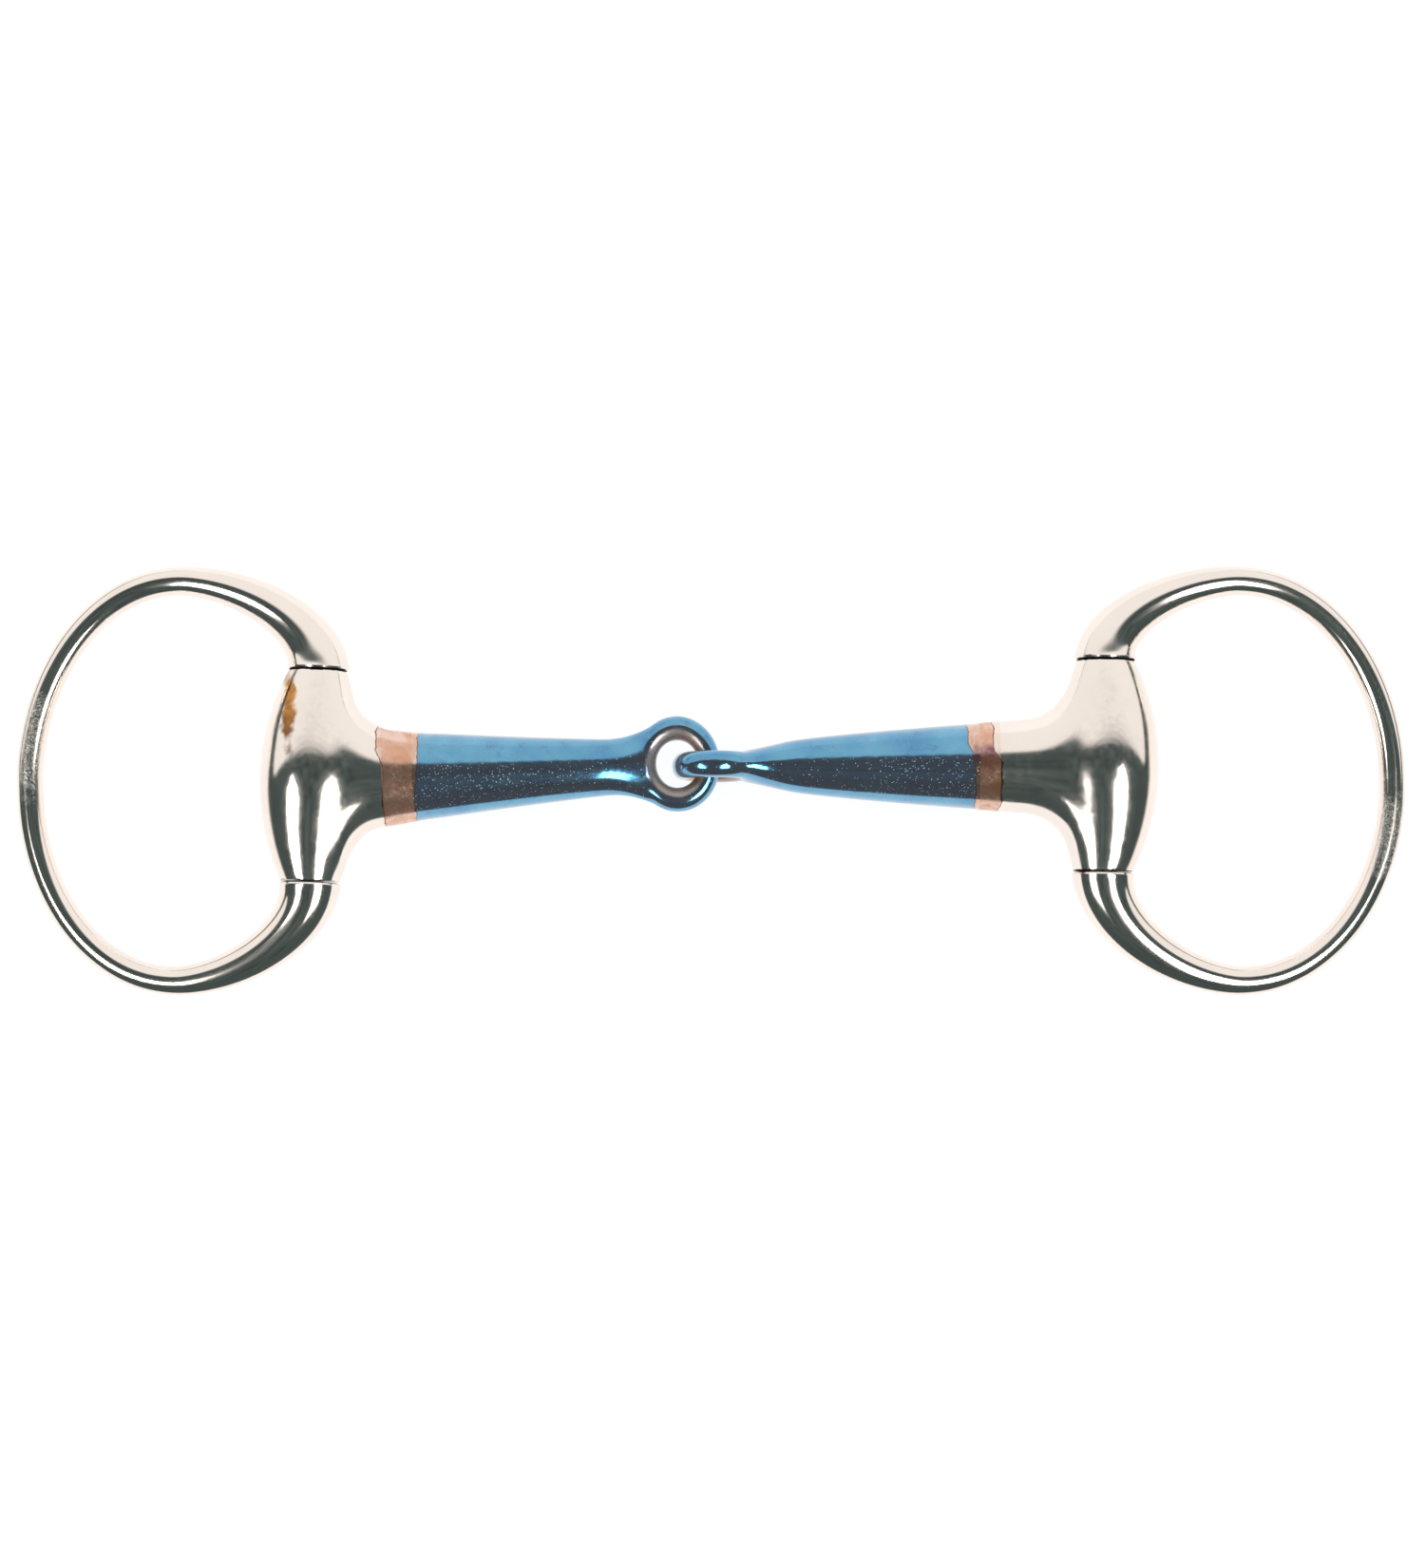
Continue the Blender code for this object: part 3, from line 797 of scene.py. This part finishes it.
def ring_steel(name, centre):
    material, tree, shader = blank(f"buffed stainless, {name} ring")
    place = add(tree, "TexCoord", out="Object")
    colour, _, bump = stainless(tree, place)
    area = patch(tree, place, centre, SCUFF_HALF_SIZES, 0.3, 3, 0.4)
    winding = add(tree, "TexNoise", place, per_mm(SCRATCH), 2, Distortion=2.5)
    scratch = add(tree, "Math", area, winding_line(tree, winding, 0.03), operation="MULTIPLY")
    colour = add(tree, "Mix", scratch, colour, STEEL_SCUFF, data_type="RGBA")
    dulled = add(tree, "MapRange", area, 0, 1, 0.13, 0.22)
    roughness = add(tree, "Math", scratch, 0.5, dulled, operation="MULTIPLY_ADD")
    metal(tree, shader, colour, roughness, bump)
    return material


RING_STEEL = {name: ring_steel(name, centre) for name, centre in SCUFFED.items()}
print("ring steel made")

# %% [markdown]
# ## Copper braze
# The iron and the steel are joined with copper that was run in hot. It wets both metals and
# freezes with a ragged edge, a thin dark line of oxide, and pools of paler and redder copper.
# A modelled edge would need a far finer mesh, so it is painted. The same band of copper is laid
# over the ends of the steel and the iron, and steel over the collar where the copper stops short,
# so that the ragged edge can cross the straight cuts between the pieces.

# %% The colour of the copper
COPPER_PALE = linear("#E6CCBF")
COPPER_RED = linear("#D09A78")
COPPER_OXIDE = linear("#7A4A38")
COPPER_PURPLE = linear("#5A4468")
POOL = 5.5
PURPLE_CENTRE, PURPLE_HALF_SIZES = (51.5, 3.8, 14), (3.4, 1.9, 8)  # a flush of heat, right only


def copper_colour(tree, place, side):
    pools = add(tree, "TexNoise", place, per_mm(POOL), 2, Distortion=1.2)
    paler = add(tree, "MapRange", pools, 0.3, 0.62)
    colour = add(tree, "Mix", paler, COPPER_RED, COPPER_PALE, data_type="RGBA")
    rims = add(tree, "Math", winding_line(tree, pools, 0.014), 0.3, operation="MULTIPLY")
    colour = add(tree, "Mix", rims, colour, COPPER_OXIDE, data_type="RGBA")
    if side is RIGHT:
        flush = patch(tree, place, PURPLE_CENTRE, PURPLE_HALF_SIZES, 0.4, 2, 0.5)
        colour = add(tree, "Mix", flush, colour, COPPER_PURPLE, data_type="RGBA")
    return colour


print("pools of copper are about", POOL, "mm")

# %% [markdown]
# ## The edge of the copper
# A point is in the copper if it lies between the near and the far edge, and each edge is a straight
# slope at a distance from the hinge. Noise scallops the edges. A narrow range in which the copper
# runs out is where the dark line of oxide shows.

# %% Laying the copper over another metal
SCALLOP, RAGGED = 3.2, 0.35  # how long and how deep the scallops of the copper's edge are
OUTLINE = 0.16  # half the width over which the copper runs out


def edge_at(tree, height, slope):
    """How far from the hinge an edge of the copper lies at a height."""
    (low, at_low), (high, at_high) = slope
    return add(tree, "MapRange", height, low * MM, high * MM, at_low * MM, at_high * MM)


def copper_band(tree, place, side):
    """How far a point is inside the ragged band of copper: 1 well inside, 0 outside."""
    axes = add(tree, "SeparateXYZ", place).node.outputs
    along = add(tree, "Math", axes["X"], side.middle.x, operation="SUBTRACT")
    distance = add(tree, "Math", along, operation="ABSOLUTE")
    far = edge_at(tree, axes["Y"], side.copper_far)
    inside = add(tree, "Math", far, distance, operation="SUBTRACT")
    for slope in side.copper_near:
        past = add(tree, "Math", distance, edge_at(tree, axes["Y"], slope), operation="SUBTRACT")
        inside = add(tree, "Math", inside, past, operation="MINIMUM")
    wobble = add(tree, "TexNoise", place, per_mm(SCALLOP), 3)
    scallops = add(tree, "MapRange", wobble, 0.3, 0.7, -RAGGED * MM, RAGGED * MM, clamp=False)
    edge = add(tree, "Math", inside, scallops, operation="ADD")
    return add(tree, "MapRange", edge, -OUTLINE * MM, OUTLINE * MM)


def with_copper(tree, place, side, under):
    """The copper over another metal's colour, with its thin dark line of oxide between them."""
    band = copper_band(tree, place, side)
    inner = add(tree, "MapRange", band, 0.5, 0.9)
    colour = copper_colour(tree, place, side)
    copper = add(tree, "Mix", inner, COPPER_OXIDE, colour, data_type="RGBA")
    outer = add(tree, "MapRange", band, 0.0, 0.25)
    return add(tree, "Mix", outer, under, copper, data_type="RGBA")


print("scallops on the copper's edge are", SCALLOP, "mm long")

# %% [markdown]
# ## The copper collars
# Where the copper mirrors something dark, it still glows a little orange, because the tarnish on it
# scatters light. A metal shader can't do that, so a small share of a matt one is mixed in.

# %% Copper for the collars
COPPER_TARNISH = linear("#E08A58")
TARNISH_SHARE = 0.13
COPPER_GRAIN = 0.9


def scattering(tree, shader, colour, share):
    """Lets a film on the metal scatter a share of the light in a colour of its own."""
    film = add(tree, "BsdfDiffuse", colour)
    both = add(tree, "MixShader", share, shader.outputs[0], film)
    tree.links.new(both, tree.nodes["Material Output"].inputs["Surface"])


def copper_braze(side):
    material, tree, shader = blank(f"run-in copper braze, {side.name}")
    place = add(tree, "TexCoord", out="Object")
    colour = with_copper(tree, place, side, stainless(tree, place)[0])
    grain = add(tree, "TexNoise", place, per_mm(COPPER_GRAIN), 3)
    roughness = add(tree, "MapRange", grain, 0.3, 0.7, 0.16, 0.28)
    metal(tree, shader, colour, roughness, add(tree, "Bump", 0.12, 0.03 * MM, Height=grain))
    scattering(tree, shader, COPPER_TARNISH, TARNISH_SHARE)
    return material


COPPER = {side.name: copper_braze(side) for side in (LEFT, RIGHT)}
print("copper made")

# %% [markdown]
# ## The steel butts
# The butts are the same stainless, with two marks of the brazing torch: copper that ran onto the
# end of the neck, and on the left one a straw-coloured heat tint down the side near the ring,
# burnt brown at its lower end. Both change the colour only, and the steel under them stays glossy.

# %% Steel for the butts, with copper and heat tint
TINT_STRAW = linear("#C98F4E")
TINT_BROWN = linear("#7C5638")
TINT_CENTRE, TINT_HALF_SIZES = (-78.0, 12.2, 14), (1.3, 8.2, 9)
BURNT_BELOW, STRAW_ABOVE = 7, 14
STREAK = 2.5


def heat_tinted(tree, place, steel):
    """The straw heat tint over the colour of the steel, in streaks that are burnt lower down."""
    height = add(tree, "SeparateXYZ", place, out="Y")
    fresh = add(tree, "MapRange", height, BURNT_BELOW * MM, STRAW_ABOVE * MM)
    streaky = add(tree, "TexNoise", place, per_mm(STREAK), 3, Distortion=1.5)
    streaks = add(tree, "Math", fresh, add(tree, "MapRange", streaky, 0.2, 0.6), operation="MULTIPLY")
    tint = add(tree, "Mix", streaks, TINT_BROWN, TINT_STRAW, data_type="RGBA")
    area = patch(tree, place, TINT_CENTRE, TINT_HALF_SIZES, 0.4, 2.6, 0.3)
    return add(tree, "Mix", area, steel, tint, data_type="RGBA")


def butt_steel(side):
    material, tree, shader = blank(f"brazed stainless, {side.name} butt")
    place = add(tree, "TexCoord", out="Object")
    colour, roughness, bump = stainless(tree, place)
    if side is LEFT:
        colour = heat_tinted(tree, place, colour)
    metal(tree, shader, with_copper(tree, place, side, colour), roughness, bump)
    return material


BUTT_STEEL = {side.name: butt_steel(side) for side in (LEFT, RIGHT)}
print("butt steel made")

# %% [markdown]
# ## Pits in the iron
# The forged skin of the iron is full of tiny pits, thick near the cheeks and sparse near the eyes.
# They show as pale specks wherever the smooth metal round them reflects something dark, because a
# pit catches light from all sides. A Voronoi pattern deals them out, as each of its cells may hold
# one pit or none. Real pits are finer still, and these are as coarse as they need to be to show.

# %% Where the pits are
PIT_SPACING = 0.5
FEW_PITS_AT, MANY_PITS_AT = 6, 36  # from the middle of the bit
PIT_CLUMP = 5


def pits(tree, place, side):
    """A share that is 1 in a pit and 0 elsewhere."""
    cells = add(tree, "TexVoronoi", place, per_mm(PIT_SPACING)).node.outputs
    dice = add(tree, "SeparateColor", cells["Color"]).node.outputs
    x = add(tree, "SeparateXYZ", place, out="X")
    outwards = add(tree, "Math", x, side.outward, operation="MULTIPLY")
    density = add(tree, "MapRange", outwards, FEW_PITS_AT * MM, MANY_PITS_AT * MM, 0.1, 0.95)
    clumpy = add(tree, "TexNoise", place, per_mm(PIT_CLUMP), 3)
    clumps = add(tree, "MapRange", clumpy, 0.3, 0.7, 0.55, 1.2)
    chance = add(tree, "Math", density, clumps, operation="MULTIPLY")
    has_pit = add(tree, "Math", dice["Red"], chance, operation="LESS_THAN")
    size = add(tree, "MapRange", dice["Green"], 0, 1, 0.13, 0.3)
    inside = add(tree, "Math", cells["Distance"], size, operation="LESS_THAN")
    return add(tree, "Math", has_pit, inside, operation="MULTIPLY")


print("at most one pit every", PIT_SPACING, "mm")

# %% [markdown]
# ## Blued sweet iron
# Sweet iron is mild steel, blued by heating it until an oxide film turns it bright blue. The film
# is patchy, and it hasn't taken inside the eyes, which show tan. It is glassy too, so the metal
# gets a clear coat, whose highlights stay white. A little of a matt brown is mixed in for the bloom
# that shows on the dark side of the arms.

# %% Blued iron with pits
BLUE_BRIGHT = linear("#5AABCC")
BLUE_DEEP = linear("#348FBE")
BLUE_DARK = linear("#3A6E9C")
BLUE_PATCH, BLUE_BLOTCH = 7, 2.2
PIT_PALE = linear("#94ABBE")
EYE_TAN = linear("#C4B0A2")
EYE_BROWN = linear("#A18A7B")
BARE_ALONG, BARE_ACROSS = 5.6, 6.5  # half sizes of the bare patch in an eye
WORN, IRON_SKIN = 1.5, 0.8
BLOOM = linear("#B48B80")
BLOOM_SHARE = 0.09


def blue_film(tree, place):
    patchy = add(tree, "MapRange", add(tree, "TexNoise", place, per_mm(BLUE_PATCH), 4), 0.3, 0.7)
    blue = add(tree, "Mix", patchy, BLUE_DEEP, BLUE_BRIGHT, data_type="RGBA")
    blotchy = add(tree, "TexNoise", place, per_mm(BLUE_BLOTCH), 4)
    blotch = add(tree, "MapRange", blotchy, 0.58, 0.72, 0, 0.45)
    return add(tree, "Mix", blotch, blue, BLUE_DARK, data_type="RGBA")


def bare_eye(tree, place, side):
    """A share that is 1 in and close round the hole of the eye, on both faces, and 0 elsewhere."""
    eye = arm_frame(side).translation / MM
    across = (BARE_ACROSS, None) if side.eye_flat else (None, BARE_ACROSS)
    return patch(tree, place, eye, (BARE_ALONG, *across), 0.04, 2.5, 0.14)


def iron_roughness(tree, skin, pit, bare):
    """Glossy, but matt in the pits and half matt where the iron is bare."""
    glossy = add(tree, "MapRange", skin, 0.3, 0.7, 0.11, 0.17)
    in_pit = add(tree, "Math", pit, 0.6, operation="MULTIPLY")
    in_eye = add(tree, "Math", bare, 0.5, operation="MULTIPLY")
    marks = add(tree, "Math", in_pit, in_eye, operation="MAXIMUM")
    return add(tree, "Math", glossy, marks, operation="MAXIMUM")


def blued_iron(side):
    material, tree, shader = blank(f"blued sweet iron, {side.name} cannon")
    place = add(tree, "TexCoord", out="Object")
    bare, pit = bare_eye(tree, place, side), pits(tree, place, side)
    worn = add(tree, "TexNoise", place, per_mm(WORN), 3)
    tan = add(tree, "Mix", worn, EYE_BROWN, EYE_TAN, data_type="RGBA")
    colour = add(tree, "Mix", bare, blue_film(tree, place), tan, data_type="RGBA")
    pale = add(tree, "Math", pit, 0.8, operation="MULTIPLY")
    colour = add(tree, "Mix", pale, colour, PIT_PALE, data_type="RGBA")
    skin = add(tree, "TexNoise", place, per_mm(IRON_SKIN), 3)
    sunk = add(tree, "Math", skin, pit, operation="SUBTRACT")
    height = add(tree, "Math", sunk, 0.25, operation="MULTIPLY")
    bump = add(tree, "Bump", 0.4, 0.03 * MM, Height=height)
    roughness = iron_roughness(tree, skin, pit, bare)
    metal(tree, shader, with_copper(tree, place, side, colour), roughness, bump)
    shader.inputs["Coat Weight"].default_value = 1
    shader.inputs["Coat Roughness"].default_value = 0.08
    scattering(tree, shader, BLOOM, BLOOM_SHARE)
    return material


BLUED = {side.name: blued_iron(side) for side in (LEFT, RIGHT)}
print("blued iron made")

# %% [markdown]
# ## Ground pin steel
# The hinge pins are plain ground bar. Only a hair of them shows, in the gap at each seam, so the
# measured pins are kept as they are and only get their finish: fine rings left by the grinder,
# which a noise pattern gives when it is stretched across the bar.

# %% Ground steel for the pins
PIN_DARK, PIN_LIGHT = linear("#8E8E90"), linear("#B4B4B6")
GRINDING = 0.25


def ground_steel():
    material, tree, shader = blank("ground bar steel")
    place = add(tree, "TexCoord", out="Object")
    stretched = add(tree, "Mapping", place, Scale=(0.05, 1, 0.05))
    grinding = add(tree, "TexNoise", stretched, per_mm(GRINDING), 2)
    colour = add(tree, "Mix", grinding, PIN_DARK, PIN_LIGHT, data_type="RGBA")
    metal(tree, shader, colour, add(tree, "MapRange", grinding, 0, 1, 0.3, 0.45))
    return material


PIN_STEEL = ground_steel()
print("pin steel made")

# %% [markdown]
# ## Painted shade in the seams
# Shade falls in the gap between a ring and its butt, and is painted so that the seam reads as a dark
# line.
# The painted shade is on the flat ends that face each other, so those faces get a matt, nearly black
# finish of their own, and no mesh is added for it.

# %% Painted shade for the seams
# Nearly black colours that paint the shade in the seam gap onto the flat end faces.
SEAM_SHADE_DARK, SEAM_SHADE_LIGHT = linear("#15120F"), linear("#2E2822")
SEAM_MOTTLE = 0.6
GAP_FACE_WITHIN = 0.02


def painted_seam_shade():
    material, tree, shader = blank("dried grease and grit")
    place = add(tree, "TexCoord", out="Object")
    mottled = add(tree, "TexNoise", place, per_mm(SEAM_MOTTLE), 3)
    colour = add(tree, "Mix", mottled, SEAM_SHADE_DARK, SEAM_SHADE_LIGHT, data_type="RGBA")
    tree.links.new(colour, shader.inputs["Base Color"])
    shader.inputs["Roughness"].default_value = 0.85
    return material


# A matt, nearly black finish that paints the shade in the seam gaps.
SEAM_SHADE = painted_seam_shade()


def shade_painted_ends(obj, side, distance):
    """Puts painted shade on the flat ends that stand at a distance from the hinge's middle."""
    obj.data.materials.append(SEAM_SHADE)
    obj.active_material_index = 1

    def is_end(face):
        height = (face.center - side.middle).dot(side.up)
        flat = abs(face.normal.dot(side.up)) > FLAT
        return flat and abs(abs(height) - distance * MM) < GAP_FACE_WITHIN * MM
    pick_faces(obj, is_end)
    bpy.ops.object.material_slot_assign()
    in_object()


print("painted seam shade made")

# %% [markdown]
# ## Putting the finishes on
# Each piece wears one finish all over, and the rings and butts also get painted seam shade on their
# ends.
# The measured pins keep their mesh and their material slots, and only what the slots hold changes.

# %% Give every piece its finish
def wear(obj, material):
    obj.data.materials.clear()
    obj.data.materials.append(material)


for side in (LEFT, RIGHT):
    made = pieces[side.name]
    wear(rings[side.name], RING_STEEL[side.name])
    # The flat ends at the seams get painted shade, a matt, nearly black finish.
    shade_painted_ends(rings[side.name], side, SEAM)
    wear(made.butt, BUTT_STEEL[side.name])
    shade_painted_ends(made.butt, side, BUTT_HALF_LENGTH)
    wear(made.collar, COPPER[side.name])
    wear(made.cannon, BLUED[side.name])
    for slot in frame["nodes"][side.name + "_hinge_pin"].material_slots:
        slot.material = PIN_STEEL
print("materials in use:", len([m for m in bpy.data.materials if m.users]))

# %% [markdown]
# ## What moves with what
# Each new piece rides on a body of the frame: a ring turns with its cheek, and the butt, braze and
# cannon of one side move together as half of the mouthpiece. Each stands for one measured node.

# %% Ride and replace
for side in (LEFT, RIGHT):
    made = pieces[side.name]
    mouthpiece, cheek = side.name + "_mouthpiece", side.name + "_cheek"
    rows = (
        (rings[side.name], cheek, "ring", "polished_steel"),
        (made.butt, mouthpiece, "barrel", "polished_steel"),
        (made.collar, mouthpiece, "braze", "copper_braze"),
        (made.cannon, mouthpiece, "cannon", "blued_iron"),
    )
    for piece, body, node, slot in rows:
        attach(piece, body)
        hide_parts(f"{side.name}_{node}")
        print(piece.name, "rides on", body)

# %% [markdown]
# ## Floor and room
# Polished metal shows its surroundings more than itself, so lighting it means building what it
# reflects. It starts with a white room and a pale floor that glows like a light table, so that the
# bit stands on plain white with only a faint shadow.

# %% Floor and white room
ROOM_WHITE = linear("#FFFEFD")
TABLE, TABLE_GLOW = linear("#9A9A9A"), 2.45
BLACK = linear("#000000")


def stage_material(name, colour, glow, strength):
    """A matt finish that gives off light of its own."""
    material, _, shader = blank(name)
    values = {"Base Color": colour, "Roughness": 1, "Specular IOR Level": 0}
    values.update({"Emission Color": glow, "Emission Strength": strength})
    for socket, value in values.items():
        shader.inputs[socket].default_value = value
    return material


bpy.ops.object.select_all(action="DESELECT")
bpy.ops.mesh.primitive_plane_add(size=8)
floor = bpy.context.object
floor.name = "floor"
wear(floor, stage_material("light table", TABLE, TABLE, TABLE_GLOW))

room = bpy.data.worlds.new("white room")
bpy.context.scene.world = room
room.use_nodes = True
room.node_tree.nodes["Background"].inputs["Color"].default_value = ROOM_WHITE
room.node_tree.nodes["Background"].inputs["Strength"].default_value = 1.0
print("floor and room made")

# %% [markdown]
# ## A dark ceiling with two windows
# In a white room the bit would be white on white. So a dark card hangs over it, from a little
# beyond the middle down to the near side, and gives every round bar its dark band. Two bright
# windows in the card, one on each side, draw the white streaks on the butts and arms. Area lights
# would do that too, but a painted window can have a gabled edge that tapers the streaks.

# %% The shape of a window
CARD_HEIGHT = 1.2
WINDOWS = ((-52, -29), (20, 46))  # from and to, in degrees from overhead
WINDOW_NEAR, WINDOW_FAR = -40, 2
GABLE = 0.5  # how far down, in metres, the far edge of a window falls from its middle to its sides
WINDOW_SOFT = 0.05


def across(degrees):
    """How far from overhead a direction meets the card, in metres."""
    return CARD_HEIGHT * math.tan(math.radians(degrees))


def window_shape(tree, place, start, end):
    """A share that is 1 inside a window with a gabled far edge, and fades out over its edges."""
    axes = add(tree, "SeparateXYZ", place).node.outputs
    middle, half = (start + end) / 2, (end - start) / 2
    from_middle = add(tree, "Math", axes["X"], middle, operation="SUBTRACT")
    aside = add(tree, "Math", from_middle, operation="ABSOLUTE")
    sides = add(tree, "Math", half, aside, operation="SUBTRACT")
    fall = add(tree, "Math", aside, GABLE / half, operation="MULTIPLY")
    eaves = add(tree, "Math", across(WINDOW_FAR), fall, operation="SUBTRACT")
    far = add(tree, "Math", eaves, axes["Y"], operation="SUBTRACT")
    near = add(tree, "Math", axes["Y"], across(WINDOW_NEAR), operation="SUBTRACT")
    inside = add(tree, "Math", sides, far, operation="MINIMUM")
    inside = add(tree, "Math", inside, near, operation="MINIMUM")
    return add(tree, "MapRange", inside, -WINDOW_SOFT, WINDOW_SOFT)


print("windows span", [[round(across(edge), 2) for edge in window] for window in WINDOWS], "m")

# %% [markdown]
# ## Cards that only reflections see
# A card in the way of the view, or one that shaded the floor, would be seen for what it is. So a
# card is hidden from everything but reflections, which is enough for the metal to mirror it.

# %% The ceiling card
DARK_LOW, DARK_HIGH = linear("#303B3B"), linear("#546262")
CLOUD = 180
WINDOW_WHITE = linear("#FFFEFC")
WINDOW_STRENGTH = 7.0
CARD_EDGE, EDGE_SOFT = 29, 3  # degrees
CARD_SIDE, CARD_NEAR = 80, -86


def ceiling_material():
    material = stage_material("dark ceiling with two windows", BLACK, BLACK, 1)
    tree = material.node_tree
    shader = tree.nodes["Principled BSDF"]
    place = add(tree, "TexCoord", out="Object")
    cloudy = add(tree, "MapRange", add(tree, "TexNoise", place, per_mm(CLOUD), 2), 0.35, 0.65)
    colour = add(tree, "Mix", cloudy, DARK_LOW, DARK_HIGH, data_type="RGBA")
    far = add(tree, "SeparateXYZ", place, out="Y")
    fading = add(tree, "MapRange", far, across(CARD_EDGE - EDGE_SOFT), across(CARD_EDGE + EDGE_SOFT))
    colour = add(tree, "Mix", fading, colour, ROOM_WHITE, data_type="RGBA")
    strength = 1.0
    for start, end in WINDOWS:
        window = window_shape(tree, place, across(start), across(end))
        colour = add(tree, "Mix", window, colour, WINDOW_WHITE, data_type="RGBA")
        strength = add(tree, "Math", window, WINDOW_STRENGTH, strength, operation="MULTIPLY_ADD")
    tree.links.new(strength, shader.inputs["Emission Strength"])
    tree.links.new(colour, shader.inputs["Emission Color"])
    return material


def card(name, low, high, material):
    """A flat card between two corners in metres, seen by reflections only."""
    low, high = Vector(low), Vector(high)
    size = high - low
    bpy.ops.object.select_all(action="DESELECT")
    bpy.ops.mesh.primitive_plane_add(size=1)
    made = bpy.context.object
    made.name = name
    lying = size.z == 0
    stand = Matrix() if lying else Matrix.Rotation(math.pi / 2, 4, "X" if size.y == 0 else "Y")
    stretch = Matrix.Diagonal((size.x or 1, size.y or 1, size.z or 1, 1))
    put(made, Matrix.Translation((low + high) / 2) @ stretch @ stand)
    wear(made, material)
    for kind in ("camera", "diffuse", "shadow", "transmission", "volume_scatter"):
        setattr(made, "visible_" + kind, False)
    return made


near_corner = (across(-CARD_SIDE), across(CARD_NEAR), CARD_HEIGHT)
far_corner = (across(CARD_SIDE), across(CARD_EDGE + EDGE_SOFT), CARD_HEIGHT)
ceiling = card("ceiling card", near_corner, far_corner, ceiling_material())
print("ceiling card is", [round(size, 1) for size in ceiling.dimensions], "m")

# %% [markdown]
# ## The dark surround
# The outer flanks of the rings and the undersides of the arms mirror what lies near the bit and
# beside it. Dark cards on the table and low walls there give the silhouettes their dark line,
# without which they would melt into the white table. The far side stays open and white.

# %% The dark surround, near the bit and to its left and right
SIDE_X, NEAR_Y = 0.138, -0.052  # where the dark begins beside the bit, in metres
DARK_TO_Y = 0.3
AWAY, WALL_TOP = 4, 2
LIFT = 0.002
dark = stage_material("dark surround", BLACK, linear("#434F4F"), 1)
card("near surround", (-AWAY, -AWAY, LIFT), (AWAY, NEAR_Y, LIFT), dark)
card("left surround", (-AWAY, NEAR_Y, LIFT), (-SIDE_X, DARK_TO_Y, LIFT), dark)
card("right surround", (SIDE_X, NEAR_Y, LIFT), (AWAY, DARK_TO_Y, LIFT), dark)
card("near wall", (-AWAY, -AWAY, 0), (AWAY, -AWAY, WALL_TOP), dark)
card("left wall", (-AWAY, -AWAY, 0), (-AWAY, DARK_TO_Y, WALL_TOP), dark)
card("right wall", (AWAY, -AWAY, 0), (AWAY, DARK_TO_Y, WALL_TOP), dark)
print("dark surround made")

# %% [markdown]
# ## Camera
# The camera looks almost straight down, from about a metre away. Its lens follows from that
# distance and from the width that it has to take in. The standard view transform keeps the white
# table white, where a filmic one would turn it grey.

# %% Camera
CAMERA_ELEVATION = 86
CAMERA_DISTANCE = 1.05
VIEW_WIDTH = 0.2655  # what the frame takes in at the bit, from edge to edge
SENSOR_WIDTH = 36
aim = Vector((0.00027, -0.00062, 0.006))
rise = math.radians(CAMERA_ELEVATION)
back = Vector((0, -math.cos(rise), math.sin(rise)))
lens = bpy.data.cameras.new("camera")
lens.sensor_fit = "HORIZONTAL"
lens.sensor_width = SENSOR_WIDTH
lens.lens = SENSOR_WIDTH * CAMERA_DISTANCE / VIEW_WIDTH
camera = bpy.data.objects.new("camera", lens)
bpy.context.scene.collection.objects.link(camera)
camera.location = aim + back * CAMERA_DISTANCE
camera.rotation_euler = back.to_track_quat("Z", "Y").to_euler()
bpy.context.scene.camera = camera
bpy.context.scene.view_settings.view_transform = "Standard"
print(f"lens {lens.lens:.0f} mm")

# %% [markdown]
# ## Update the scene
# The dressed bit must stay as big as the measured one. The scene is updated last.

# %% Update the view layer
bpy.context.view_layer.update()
